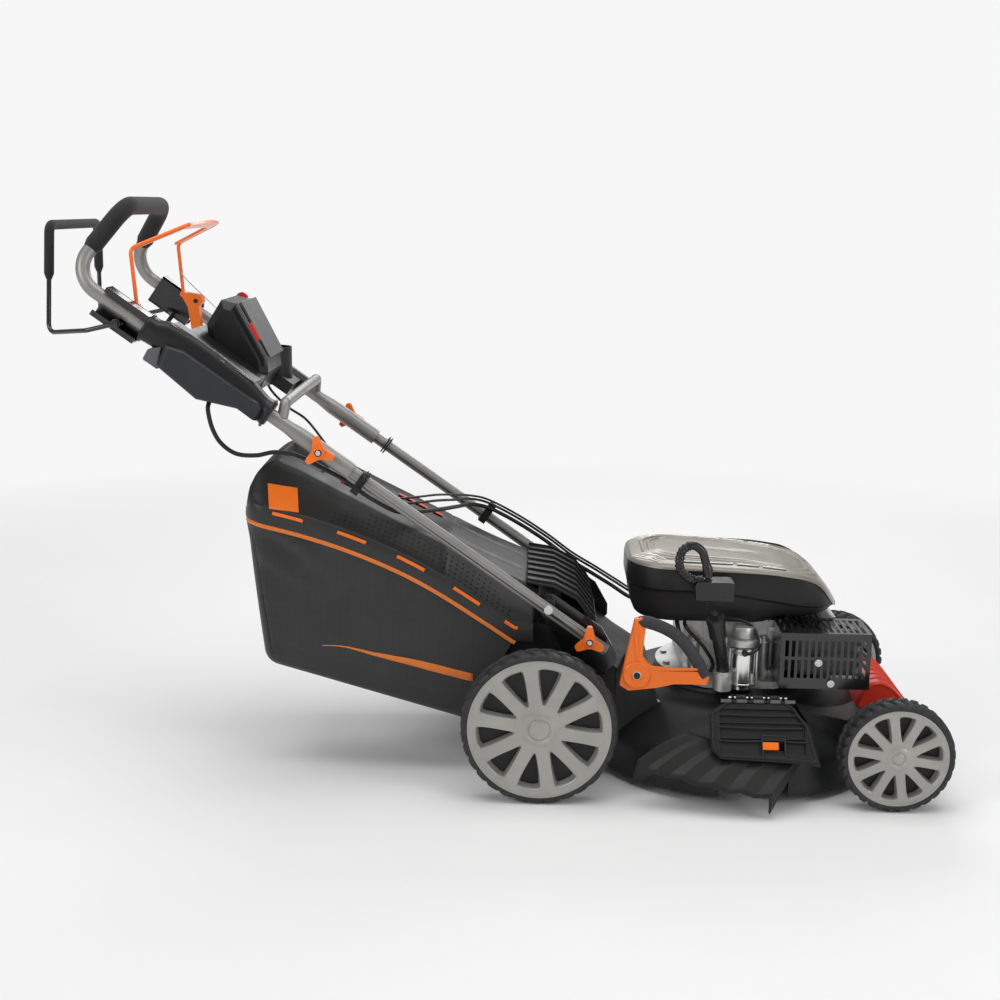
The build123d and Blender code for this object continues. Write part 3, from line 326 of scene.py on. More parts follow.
class Shape:
    """Faces collected in millimetres; one shape can carry several finishes."""

    def __init__(self):
        self.points = []
        self.faces = []
        self.indices = []
        self.names = []
        self.place = Matrix.Identity(4)

    def finish_index(self, name):
        if name not in self.names:
            self.names.append(name)
        return self.names.index(name)

    def grid(self, rows, finish, closed=False, caps=False, pick=None):
        """Quads between rows of points. closed joins each row's ends, caps fills the first and last
        row, and pick may name another finish for a face from its row and column."""
        base = len(self.points)
        width = len(rows[0])
        for row in rows:
            self.points.extend(self.place @ Vector(point) for point in row)
        main = self.finish_index(finish)
        for i in range(len(rows) - 1):
            for j in range(width if closed else width - 1):
                k = (j + 1) % width
                self.faces.append((base + i * width + j, base + i * width + k,
                                   base + (i + 1) * width + k, base + (i + 1) * width + j))
                other = pick(i, j) if pick else None
                self.indices.append(self.finish_index(other) if other else main)
        if caps:
            self.faces.append(tuple(range(base + width - 1, base - 1, -1)))
            last = base + (len(rows) - 1) * width
            self.faces.append(tuple(range(last, last + width)))
            self.indices += [main, main]

    def tube(self, path, radius, finish, sides=20, squash=(1.0, 1.0)):
        """A bar along a path. radius is a number or a function of the share of the length."""
        path = [Vector(point) for point in path]
        lengths = [0.0]
        for a, b in zip(path, path[1:]):
            lengths.append(lengths[-1] + (b - a).length)
        tangent = (path[1] - path[0]).normalized()
        side = tangent.cross(Vector((0, 0, 1)))
        if side.length < 1e-3:
            side = tangent.cross(Vector((1, 0, 0)))
        side.normalize()
        rows = []
        for index, point in enumerate(path):
            before = path[max(0, index - 1)]
            after = path[min(len(path) - 1, index + 1)]
            tangent = (after - before).normalized()
            side = (side - tangent * side.dot(tangent)).normalized()
            over = side.cross(tangent)
            size = radius(lengths[index] / lengths[-1]) if callable(radius) else radius
            rows.append([point + side * (math.cos(a) * size * squash[0])
                         + over * (math.sin(a) * size * squash[1]) for a in circle(sides)])
        self.grid(rows, finish, closed=True, caps=True)

    def turn(self, profile, centre, axis, finish, steps=48):
        """Solid of revolution: profile holds (radius, distance along the axis)."""
        axis = Vector(axis).normalized()
        side = axis.orthogonal().normalized()
        over = axis.cross(side)
        centre = Vector(centre)
        rows = [[centre + axis * along + (side * math.cos(a) + over * math.sin(a)) * max(radius, 0.01)
                 for a in circle(steps)] for radius, along in profile]
        self.grid(rows, finish, closed=True, caps=True)

    def plate(self, outline, y0, y1, finish):
        """Slab with an outline in the X-Z plane between two values of Y."""
        rows = [[(x, y, z) for x, z in outline] for y in (y0, y1)]
        self.grid(rows, finish, closed=True, caps=True)

    def box(self, x0, x1, y0, y1, z0, z1, finish):
        self.plate([(x0, z0), (x1, z0), (x1, z1), (x0, z1)], y0, y1, finish)

    def bolt(self, place, axis, size, finish, height=None):
        """Hexagon head on a washer, standing on place and facing along axis."""
        height = height or size * 0.7
        washer = [(size * 1.25, 0), (size * 1.25, size * 0.16), (size * 0.9, size * 0.18)]
        self.turn(washer, place, axis, finish, 20)
        self.turn([(size, size * 0.16), (size, height * 0.86), (size * 0.86, height)], place, axis, finish, 6)

    def piece(self, name, body, replaces=(), bevel=0.0, angle=32.0, segments=2, merge=0.0):
        """Turns the collected faces into an object that rides on a body."""
        mesh = bpy.data.meshes.new(name)
        mesh.from_pydata([TO_FRAME @ point for point in self.points], [], self.faces)
        for finish in self.names:
            mesh.materials.append(FINISH[finish].material)
        mesh.polygons.foreach_set("material_index", self.indices)
        work = bmesh.new()
        work.from_mesh(mesh)
        if merge:
            bmesh.ops.remove_doubles(work, verts=work.verts, dist=merge / 1000)
        bmesh.ops.recalc_face_normals(work, faces=work.faces)
        work.to_mesh(mesh)
        work.free()
        mesh.polygons.foreach_set("use_smooth", [True] * len(mesh.polygons))
        mesh.set_sharp_from_angle(angle=math.radians(angle))
        item = bpy.data.objects.new(name, mesh)
        bpy.context.scene.collection.objects.link(item)
        if bevel:
            soften(item, bevel, segments, angle)
        if body:
            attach(item, body)
        if replaces:
            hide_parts(*replaces)
        return item


def soften(item, width, segments=2, angle=32.0):
    """Rounds the sharp edges by width millimetres."""
    modifier = item.modifiers.new("softened", "BEVEL")
    modifier.width = width / 1000
    modifier.segments = segments
    modifier.limit_method = "ANGLE"
    modifier.angle_limit = math.radians(angle)
    modifier.harden_normals = True
    modifier.use_clamp_overlap = True


def thicken(item, thickness, offset=-1.0):
    """Gives a sheet a wall of so many metres."""
    wall = item.modifiers.new("wall", "SOLIDIFY")
    wall.thickness = thickness
    wall.offset = offset


# ---------------------------------------------------------------- the CAD nodes that stay

SLOT_OF = {entry["node"]: entry["material_slot"] for entry in frame["record"]["subparts"]}


def dress(node):
    """Material and softened edges for a CAD node whose shape is right."""
    item = NODES[node]
    item.data.materials.clear()
    item.data.materials.append(FINISH[SLOT_OF[node]].material)
    if "custom_normal" in item.data.attributes:
        item.data.attributes.remove(item.data.attributes["custom_normal"])
    item.data.polygons.foreach_set("use_smooth", [True] * len(item.data.polygons))
    weld = item.modifiers.new("joined", "WELD")
    weld.merge_threshold = 0.000002
    soften(item, 0.6)


for node_name in NODES:
    dress(node_name)

# ---------------------------------------------------------------- wheels

SPOKES = 10
TREAD_BLOCKS = 30
WHEEL_HALF = 23.5


def tyre_rows(radius, rim_radius):
    """Rows of a tyre round its axis (+Z outward): a rounded carcass with slanted lugs and a centre groove."""
    half = WHEEL_HALF
    wall = [(rim_radius - 1.0, 4), (rim_radius + 2.5, 0.6), (radius - 7.5, 0.2), (radius - 5.5, 0.4),
            (radius - 3.2, 1.8), (radius - 1.6, 4.2), (radius - 0.6, 7.5)]
    tread = [(radius - 0.25 * (z / 12.0) ** 2, z) for z in range(-13, 14, 2)]
    profile = [(r, inset - half) for r, inset in wall] + tread + [(r, half - inset) for r,
                                                                  inset in wall[::-1]]
    steps = TREAD_BLOCKS * 16
    rows = []
    for step in range(steps):
        turn = step / steps
        angle = 2 * math.pi * turn
        row = []
        for r, z in profile:
            side = 0.5 if z > 0 else 0.0
            slant = 0.55 * abs(z) / half + 0.22 * smooth(radius - r, 0.0, 8.0)
            phase = (turn * TREAD_BLOCKS + side + slant) % 1.0
            lug = smooth(phase, 0.02, 0.12) * (1 - smooth(phase, 0.7, 0.8))
            reach = 1 - smooth(radius - r, 5.0, 8.5)
            centre = smooth(abs(z), 0.8, 2.6)
            depth = 4.4 * reach * (1 - lug * centre)
            edge = 1.2 * smooth(abs(z), 9.0, 13.0) * smooth(phase, 0.3, 0.7) * reach * lug
            size = r - depth * (1 - 0.75 * smooth(radius - r, 2.0, 7.0)) - edge * 0.4
            inset = 1.8 * reach * (1 - lug) * smooth(radius - r, 2.5, 6.0)
            across = z - math.copysign(inset, z)
            row.append((size * math.cos(angle), size * math.sin(angle), across))
        rows.append(row)
    rows.append(rows[0])
    return rows


def spoke_sector(rim_radius, hub_r):
    """One pocket and half a spoke each side of it, as rows from the sector's border to the pocket floor."""
    half_turn = math.pi / SPOKES
    inner = hub_r + 4.0
    outer = rim_radius - 4.0
    tip = 0.35 * rim_radius
    crown = 0.885 * rim_radius
    count = 14
    border = []
    edge = []

    def flank(share, side):
        """Border and pocket edge along one side of the spoke."""
        border.append((inner + (outer - inner) * share, side * half_turn))
        swing = math.radians(2.6 + 8.4 * (1 - (1 - share) ** 2.2) ** 0.8)
        edge.append((tip + 2.2 + (crown - tip - 5.0) * share, side * swing))

    for n in range(7):
        share = n / 6 * 2 - 1
        border.append((inner, share * half_turn))
        edge.append((tip + 2.2 * share * share, share * math.radians(2.6)))
    for n in range(1, count + 1):
        flank(n / count, 1)
    for n in range(1, 9):
        share = 1 - n / 8 * 2
        border.append((outer, share * half_turn))
        edge.append((crown - 0.6 * share * share, share * math.radians(9.9 if n < 8 else 10.4)))
    for n in range(1, count):
        flank(1 - n / count, -1)
    top = WHEEL_HALF - 3.2

    def spot(place, height):
        r, angle = place
        return (r * math.cos(angle), r * math.sin(angle), height)

    def crowned(place):
        r = place[0]
        return top + 1.6 * smooth(r, outer - 9.0, outer) + 1.2 * (1 - smooth(r, inner, inner + 12.0))

    def toward(place, share):
        middle = (0.66 * rim_radius, 0.0)
        return (place[0] + (middle[0] - place[0]) * share, place[1] * (1 - share))

    rows = [[spot(p, crowned(p)) for p in border]]
    for share in (0.35, 0.7):
        rows.append([spot((b[0] + (e[0] - b[0]) * share, b[1] + (e[1] - b[1]) * share),
                          crowned(b) + 0.3 * share) for b, e in zip(border, edge)])
    for share, drop in ((-0.03, -0.2), (0.0, 0.5), (0.035, 2.0)):
        rows.append([spot(toward(e, share), crowned(e) - drop) for e in edge])
    rows.append([spot(toward(e, 0.05), top - 4.5) for e in edge])
    rows.append([spot(toward(e, 0.17), top - 15.0) for e in edge])
    return rows


def build_wheel(name, radius, rim_radius, hub_r):
    """Tyre and rim of one wheel, in the place of its CAD nodes."""
    low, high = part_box("tyre_" + name)
    centre = (low + high) / 2 * 1000 - FRAME_SHIFT
    side = -1 if centre.y < 0 else 1
    stand = Matrix.Translation(centre) @ Matrix.Rotation(math.radians(90 if side < 0 else -90), 4, "X")
    body = "wheel_" + name
    tyre = Shape()
    tyre.place = stand
    tyre.grid(tyre_rows(radius, rim_radius), "tyre_rubber")
    tyre.piece("tyre_detail_" + name, body, ["tyre_" + name], angle=50, merge=0.02)
    rim = Shape()
    rows = spoke_sector(rim_radius, hub_r)
    for spoke in range(SPOKES):
        rim.place = stand @ Matrix.Rotation(2 * math.pi * (spoke + 0.25) / SPOKES, 4, "Z")
        rim.grid(rows, "rim_silver", closed=True)
    rim.place = stand
    centre_line = ((0, 0, 0), (0, 0, 1))
    hub = [(4.0, 0), (1.0, 0.3), (-3.0, 0.9), (-6.0, 2.4), (-8.0, 3.6), (-10.5, 3.9), (-12.5, 3.4),
           (-14.0, 1.4),
           (-15.5, 1.2), (-16.6, 2.2), (-18.5, 2.9), (-hub_r, 3.3)]
    rim.turn([(hub_r + out, WHEEL_HALF - 2.0 + rise) for out, rise in hub], *centre_line, "rim_silver", 64)
    face = WHEEL_HALF
    lip = [(-4.0, face - 1.6), (-2.6, face - 0.9), (-0.8, face - 0.6), (0.6, face - 1.4), (0.8, face - 6.0),
           (-1.0, 6.0 - face), (-1.0, 2.0 - face), (-9.0, 2.0 - face), (-10.0, 6.0), (-6.0, face - 8.0)]
    rim.grid([[((rim_radius + out) * math.cos(a), (rim_radius + out) * math.sin(a), z) for a in circle(120)]
              for out, z in lip], "rim_silver", closed=True)
    dish = [(rim_radius - 7.0, 4.0), (rim_radius * 0.62, 2.0), (hub_r, 4.0), (0.0, 5.0)]
    shell = [(rim_radius - 7.0, 2.0), (rim_radius * 0.62, -1.0), (hub_r - 4.0, -3.0),
             (hub_r - 6.0, 3.0 - face),
             (8.0, 3.0 - face)]
    for profile in (dish, shell):
        rim.turn(profile, *centre_line, "black_plastic", 72)
    rim.piece("rim_detail_" + name, body, ["rim_" + name], angle=40, merge=0.05)


for end, tyre_radius, rim_radius, hub_radius in (("rear", 140.0, 127.0, 34.0), ("front", 101.5, 88.0, 26.0)):
    for flank in ("_near", "_far"):
        build_wheel(end + flank, tyre_radius, rim_radius, hub_radius)

# ---------------------------------------------------------------- grass bag

BAG_HALF = 172.0
BAG_REAR = -545.0
BAG_CORNER = 46.0
LIP = spline([(-545, 0, 487), (-440, 0, 462), (-350, 0, 434), (-262, 0, 398), (-190, 0, 360), (-120, 0, 316),
              (-47.4, 0, 268)], 80)
LIP_PAIRS = [(p.x, p.z) for p in LIP]
LID_TOP = [(-545, 500), (-536, 536), (-524, 560), (-512, 574), (-498, 581), (-486, 583), (-440, 563),
           (-300, 492),
           (-120, 404), (-4.7, 348)]


def plan_half(x, half=BAG_HALF):
    """Half width of the bag at x: the rear corners are rounded in plan."""
    depth = min(1.0, max(0.0, (x - BAG_REAR) / BAG_CORNER))
    return half - BAG_CORNER * (1 - math.sqrt(1 - (1 - depth) ** 2))


def lip_height(x):
    return between(LIP_PAIRS, x)


def fold(x, y, z):
    """Soft folds and sag of the hanging cloth, in millimetres."""
    broad = noise.noise(Vector((x / 95.0, z / 130.0 + x / 260.0, y / 200.0)))
    fine = noise.noise(Vector((x / 34.0 - z / 60.0, z / 90.0, 3.7 + y / 300.0)))
    return broad, fine


def bag_cloth():
    """Hanging cloth: two sagging side panels and one strip that wraps the back and the bottom."""
    shape = Shape()
    spine = rounded([(-545, 0, 487), (-508, 0, 211), (-134, 0, 106)], 34, 12)
    dense = []
    for a, b in zip(spine, spine[1:]):
        pieces = max(1, int((b - a).length / 7))
        dense += [a.lerp(b, n / pieces) for n in range(pieces)]
    dense.append(spine[-1])
    count = len(dense)
    lip = spline([(p.x, 0, p.z) for p in LIP[::6]] + [(-47.4, 0, 268)], count)
    corner = 17.0
    side_rows = []
    strip_rows = []
    for index, (low, high) in enumerate(zip(dense, lip)):
        before = dense[max(0, index - 1)]
        after = dense[min(count - 1, index + 1)]
        along = (after - before).normalized()
        inward = Vector((-along.z, 0, along.x))
        if inward.dot(Vector((-300, 0, 350)) - low) < 0:
            inward = -inward
        blend = smooth(index / (count - 1), 0.0, 0.08)
        bend = corner * blend
        half_low = plan_half(low.x)
        foot = low + inward * bend
        row = []
        for step in range(27):
            share = step / 26
            place = foot.lerp(high, share)
            half = plan_half(place.x)
            broad, fine = fold(place.x, 0, place.z)
            open_part = math.sin(math.pi * share) * smooth((high - foot).length, 10, 120)
            sag = 7.0 * open_part * (0.55 + 0.5 * math.sin(place.x / 88.0)) + 4.5 * broad * open_part
            sag += 2.2 * fine * open_part
            rear = math.exp(-((place.x + 470.0) / 60.0) ** 2) * math.exp(-((place.z - 415.0) / 55.0) ** 2)
            sag += 5.0 * rear * math.sin((place.x * 0.8 + place.z * 1.1) / 11.0)
            row.append((place.x, half - 1.0 - sag, place.z))
        side_rows.append(row)
        strip = []
        for step in range(7):
            a = math.pi / 2 * step / 6
            reach = low + inward * bend * (1 - math.sin(a))
            strip.append((reach.x, half_low - 1.0 - bend * (1 - math.cos(a)), reach.z))
        width = half_low - 1.0 - bend
        for step in range(1, 12):
            y = width * (1 - step / 11)
            broad, fine = fold(low.x, y, low.z)
            droop = 5.0 * (1 - (y / max(width, 1)) ** 2) * blend + 3.0 * broad + 1.2 * fine
            spot = low - inward * droop * 0.35 * smooth(index / (count - 1), 0.03, 0.12)
            strip.append((spot.x, y, spot.z))
        strip_rows.append(strip)

    def lower_band(i, j):
        x, _, z = side_rows[i][j]
        floor_z = between([(-508, 211), (-134, 106)], x)
        return "bag_base" if z < floor_z + 38 and x > -512 else None

    def strip_band(i, _):
        return "bag_base" if dense[i].x > -506 and dense[i].z < 240 else None

    for mirror in MIRRORS:
        shape.place = mirror
        shape.grid(side_rows, "bag_mesh", pick=lower_band)
        shape.grid(strip_rows, "bag_mesh", pick=strip_band)
    thicken(shape.piece("bag_cloth", "grass_bag", ["bag_fabric"], merge=0.6, angle=60), 0.0016)
    return side_rows


side_rows = bag_cloth()


def side_y(x, z):
    """Depth of the cloth's side panel at a place in the X-Z plane, as a positive Y."""
    nearest = min((abs(px - x) + abs(pz - z), y) for row in side_rows for px, y, pz in row)
    return nearest[1]


def lid_section(x):
    """Half section of the lid at x, from the lower edge of its band up to the middle of the top."""
    lip = lip_height(x)
    top = between(LID_TOP, x)
    half = plan_half(x, BAG_HALF + 2.0)
    room = max(6.0, top - lip)
    band = min(30.0, room * 0.42)
    base = max(lip + band + 4.0, min(302.0 - 0.42 * x, top - 12.0))
    crest = 362.0 - 0.483 * x
    lean = 49.0 * min(1.0, max(0.0, (top - base) / max(crest - base, 1.0)))
    shoulder = half - 4.0 - lean
    points = [(half - 1.0, lip - 5.0), (half + 1.2, lip - 3.0), (half + 2.2, lip + 2.0),
              (half + 2.0, lip + band * 0.5), (half + 0.6, lip + band - 3.0), (half - 1.2, lip + band),
              (half - 3.6, lip + band + 1.6), (half - 4.4, lip + band + 4.0)]
    for share in (0.0, 0.25, 0.5, 0.75, 0.92):
        points.append((half - 4.6 - lean * share, base + (top - 7.0 - base) * share))
    points += [(shoulder - 2.5, top - 3.4), (shoulder - 7.0, top - 1.0), (shoulder - 13.0, top)]
    rest = max(shoulder - 13.0, 4.0)
    for step in range(1, 15):
        share = step / 14
        crown = 3.0 * (1 - (1 - share) ** 2)
        points.append((rest * (1 - share), top + crown))
    return points


LID_STATIONS = [BAG_REAR + BAG_CORNER * (n / 12) ** 1.7 for n in range(12)]
LID_STATIONS += [-499 + 5.0 * n for n in range(97)]
LID_STATIONS.append(-14.0)


def hollow(x, y, z, top):
    """Depth of the handle recess in the top of the lid and of the seam of its front part."""
    if z < top - 4:
        return 0.0
    along = smooth(x, -492, -482) * (1 - smooth(x, -424, -408))
    across = 1 - smooth(abs(y), 58, 70)
    channel = smooth(x, -400, -380) * (1 - smooth(x, -60, -40)) * (1 - smooth(abs(abs(y) - 52), 3, 7))
    return 16.0 * along * across + 3.0 * channel


def bag_lid():
    """Moulded lid: a bright-edged band, sloping shoulders and a top with a hand recess."""
    shape = Shape()
    rows = []
    for x in LID_STATIONS:
        top = between(LID_TOP, x)
        lip = lip_height(x)
        row = []
        for y, z in lid_section(x):
            seam = 2.2 * math.exp(-((x + 178.0) / 2.6) ** 2) if z > lip + 32 else 0.0
            forward = 0.18 * max(0.0, z - lip - 34) * smooth(x, -120, -14)
            row.append((x + forward, y - seam, z - hollow(x, y, z, top) - seam * 0.4))
        rows.append(row)

    def paint(i, j):
        if j < 6:
            return "lid_band"
        return "lid_front" if LID_STATIONS[i] > -176 else None

    for mirror in MIRRORS:
        shape.place = mirror
        shape.grid(rows, "lid_plastic", pick=paint)
    rear = rows[0] + [(x, -y, z) for x, y, z in rows[0][-2::-1]]
    shape.grid([rear, [(BAG_REAR - 0.5, y * 0.96, z * 0.2 + 0.8 * 490) for x, y, z in rear]], "lid_plastic")
    thicken(shape.piece("lid_shell", "grass_bag", ["bag_lid"], merge=0.3, angle=38), 0.0026)


bag_lid()


def lid_point(x, z, proud=0.0):
    """Point on the near side of the lid at x and height z, pushed outward."""
    section = lid_section(x)
    for (y0, z0), (y1, z1) in zip(section, section[1:]):
        if z0 <= z <= z1:
            share = (z - z0) / max(z1 - z0, 0.01)
            slope = math.atan2(y0 - y1, max(z1 - z0, 0.01))
            y = y0 + (y1 - y0) * share
            return Vector((x, y + proud * math.cos(slope), z + proud * math.sin(slope)))
    return Vector((x, section[0][0] + proud, z))


def lid_patch(shape, corners, finish, proud, rows, columns):
    """Thin panel laid on the lid between four (x, z) corners, on both sides of the bag."""
    def spot(u, v):
        return [mix(mix(a, b, u), mix(d, c, u), v) for a, b, c, d in zip(*corners)]

    def rim(grid):
        inside = grid[1:-1]
        return grid[0] + [row[-1] for row in inside] + grid[-1][::-1] + [row[0] for row in inside][::-1]

    for mirror in MIRRORS:
        shape.place = mirror
        under, over = ([[lid_point(*spot(j / columns, i / rows), lift) for j in range(columns + 1)]
                        for i in range(rows + 1)] for lift in (-1.0, proud))
        shape.grid(over, finish)
        shape.grid([rim(under), rim(over)], finish, closed=True)


def lid_trim():
    """Orange badge panel, orange bars along the band, the rows of vent holes as near-black discs of painted
    shade, and the red inlays on top.
    """
    bars = Shape()
    lid_patch(bars, [(-500, 545), (-447, 536), (-441, 496), (-494, 503)], "orange_plastic", 1.6, 10, 12)
    for start, end in ((-488, -433), (-371, -319), (-263, -213), (-160, -112), (-66, -42)):
        path = [Vector((x, plan_half(x, BAG_HALF + 2.0) + 1.6, lip_height(x) + 21.5))
                for x in (start + (end - start) * n / 10 for n in range(11))]
        for mirror in MIRRORS:
            bars.place = mirror
            bars.tube(path, 2.7, "orange_plastic", 10, squash=(0.8, 1.2))
    bars.piece("lid_orange_trim", "grass_bag", merge=0.05, bevel=0.5, angle=50)
    # Each vent hole is a near-black disc: painted shade in place of the open hole.
    holes = Shape()
    for column in range(33):
        x = -380.0 + column * 10.0
        for line in range(5 if x > -330 else 3):
            z = lip_height(x) + 37.0 + line * 6.6
            along = x + line * 1.6
            spot = lid_point(along, z, 0.3)
            facing = (lid_point(along, z + 1, 0.3) - spot).cross(lid_point(along + 1, z, 0.3) - spot)
            facing = facing if facing.y > 0 else -facing
            for mirror in MIRRORS:
                holes.place = mirror
                holes.turn([(2.1, -1.2), (2.1, 0.0), (1.5, 0.05)], spot, facing, "painted_hole_shade", 10)
    holes.piece("lid_vent_hole_shade", "grass_bag")
    inlay = Shape()
    for start, end in ((-378, -338), (-282, -226), (-214, -196)):
        for y in (-62.0, 62.0):
            path = [(x, y, between(LID_TOP, x) + 3.6)
                    for x in (start + (end - start) * n / 6 for n in range(7))]
            inlay.tube(path, 4.4, "red_plastic", 12, squash=(1.6, 0.35))
    inlay.piece("lid_red_inlays", "grass_bag", bevel=0.4)


lid_trim()


def bag_trim():
    """Piping under the lid's band and the tapered orange stripe sewn on each side."""
    piping = Shape()
    path = [Vector((p.x, plan_half(p.x, BAG_HALF + 1.0), p.z - 7.0)) for p in LIP if p.x > -543]
    near = [Vector((p.x, -p.y, p.z)) for p in reversed(path)]
    rear = [Vector((-545.5, y, lip_height(-545) - 7.0)) for y in (-110, -60, 0, 60, 110)]
    piping.tube(near + rear + path, 3.4, "piping", 12, squash=(1.0, 1.35))
    piping.piece("bag_piping", "grass_bag")
    stripe = Shape()
    rows = []
    for step in range(41):
        share = step / 40
        x = -402 + 279 * share
        middle = 246.0 - 55.0 * share ** 1.25 + 4.0 * math.sin(math.pi * min(1.0, share * 3)) * (1 - share)
        half = 0.6 + 7.0 * smooth(share, 0.0, 0.8)
        rows.append([(x, side_y(x, middle + offset * half) + 0.7, middle + offset * half)
                     for offset in (-1.0, -0.33, 0.33, 1.0)])
    for mirror in MIRRORS:
        stripe.place = mirror
        stripe.grid(rows, "piping")
    thicken(stripe.piece("bag_side_stripe", "grass_bag"), 0.0008)


bag_trim()

# ---------------------------------------------------------------- engine hood


def outline_ring(x0, x1, half, corner, count=12):
    """Rounded rectangle as points (x, y), starting at the end of the near side's rear corner."""
    corner = min(corner, half - 1, (x1 - x0) / 2 - 1)
    centres = [(x0 + corner, corner - half), (x1 - corner, corner - half), (x1 - corner, half - corner),
               (x0 + corner, half - corner)]

    def spot(index, step):
        angle = math.radians(180 + 90 * index + 90 * step / count)
        x, y = centres[index % 4]
        return x + corner * math.cos(angle), y + corner * math.sin(angle)

    ring = []
    for index in range(4):
        ring += [spot(index, step) for step in range(count + 1)]
        ends = list(zip(spot(index, count), spot(index + 1, 0)))
        ring += [tuple(mix(a, b, step / count) for a, b in ends) for step in range(1, count)]
    return ring


SPLIT_LINE = [(160, 394), (240, 393), (350, 390), (423, 387), (482, 379), (510, 368), (530, 346), (545, 320),
              (560, 311)]
CROWN_LINE = [(160, 404), (178, 405), (242, 404), (306, 401), (379, 397), (448, 389), (499, 378), (518, 370),
              (538, 352), (560, 325)]
HOOD_HALF = 129.0


def split_height(x):
    """Height of the joint between cover and shroud: level along the engine, falling at its front."""
    return sum(between(SPLIT_LINE, x + shift) for shift in (-9, -4.5, 0, 4.5, 9)) / 5


def crown_height(x):
    return sum(between(CROWN_LINE, x + shift) for shift in (-12, -6, 0, 6, 12)) / 5


def cover_rows():
    """Rings of the cover from its lower edge in to the middle of its top."""
    rise = [(0, 0.0), (0.6, 0.2), (2.0, 0.42), (4.5, 0.6), (8, 0.74), (13, 0.86), (19, 0.94), (26, 1.0),
            (31, 1.03), (33, 1.22), (39, 1.25), (41, 1.07), (46, 1.1), (48, 1.28), (53, 1.31), (55, 1.14),
            (60, 1.17),
            (62, 1.33), (70, 1.36), (80, 1.38), (92, 1.4), (104, 1.41), (116, 1.42)]
    rows = []
    for inset, share in rise:
        ring = []
        for x, y in outline_ring(162.5 + inset * 0.85, 557.5 - inset, HOOD_HALF + 2 - inset,
                                 86 - inset * 0.55):
            low = split_height(x)
            ring.append(Vector((x, y, low + (max(crown_height(x), low + 2.0) - low) * share)))
        rows.append(ring)
    return rows


def engine_cover():
    """Metallic cover: a rounded shoulder, stepped ridges round its crowned top, chevrons, and slots drawn as
    a painted shadow line beside a painted highlight line.
    """
    rows = cover_rows()
    count = len(rows[0])
    shape = Shape()
    shape.grid(rows, "cover_paint", closed=True)
    last = rows[-1]
    heart = sum(last, Vector()) / count
    halfway = [heart.lerp(p, 0.5) + Vector((0, 0, 0.3)) for p in last]
    shape.grid([last, halfway, [heart] * count], "cover_paint", closed=True)
    under = [Vector((p.x, p.y * 0.975, p.z + 0.5)) for p in rows[0]]
    inner = [Vector((350 + (p.x - 350) * 0.965, p.y * 0.93, p.z + 7)) for p in rows[0]]
    shape.grid([rows[0], under, inner], "cover_paint", closed=True)
    shape.piece("cover_shell", "chassis", ["top_cover"], merge=0.05, angle=44)

    def on_cover(column, level, proud):
        i = min(len(rows) - 2, max(0, int(level)))
        j = int(column) % count
        k = (j + 1) % count
        low = rows[i][j].lerp(rows[i][k], column - int(column))
        high = rows[i + 1][j].lerp(rows[i + 1][k], column - int(column))
        facing = (rows[i][k] - rows[i][j]).cross(high - low).normalized()
        return low.lerp(high, level - i) + facing * proud

    ribs = Shape()
    for number in range(4):
        for far_side in (False, True):
            path = []
            for step in range(21):
                share = step / 20
                column = 2.0 + 7.0 * share
                if far_side:
                    column = 3 * 24 + 12 - column
                level = 3.6 + number * 1.25 + 2.0 * (1 - abs(share - 0.6) / 0.6)
                path.append(on_cover(column, level, 0.1))
            ribs.tube(path, lambda share: 0.3 + 1.35 * math.sin(math.pi * min(1.0, max(0.0, share))) ** 0.5,
                      "pale_bronze_and_highlight", 8)
    ribs.piece("cover_chevrons", "chassis")
    # Each slot is painted light: a dark line of painted shadow and a pale line of painted highlight laid
    # along it.
    slots = Shape()
    for start, end in ((256, 301), (311, 353), (361, 402), (410, 452)):
        for side in (-1, 1):
            for finish, away, size, proud in (("steel_dark", 3.6, 2.0, 0.5), ("pale_bronze_and_highlight", -0.6, 3.0, 0.4)):
                path = []
                for step in range(13):
                    x = start + (end - start) * step / 12
                    y = 107.0 - 0.05 * (x - 256) + away - (3.0 * smooth(step, 10.5, 12))
                    low = split_height(x)
                    z = low + (crown_height(x) - low) * 0.98
                    path.append((x, side * y, z + proud))
                slots.tube(path, size, finish, 10, squash=(1.0, 0.7))
    slots.piece("cover_slot_shadow_highlight", "chassis")


engine_cover()


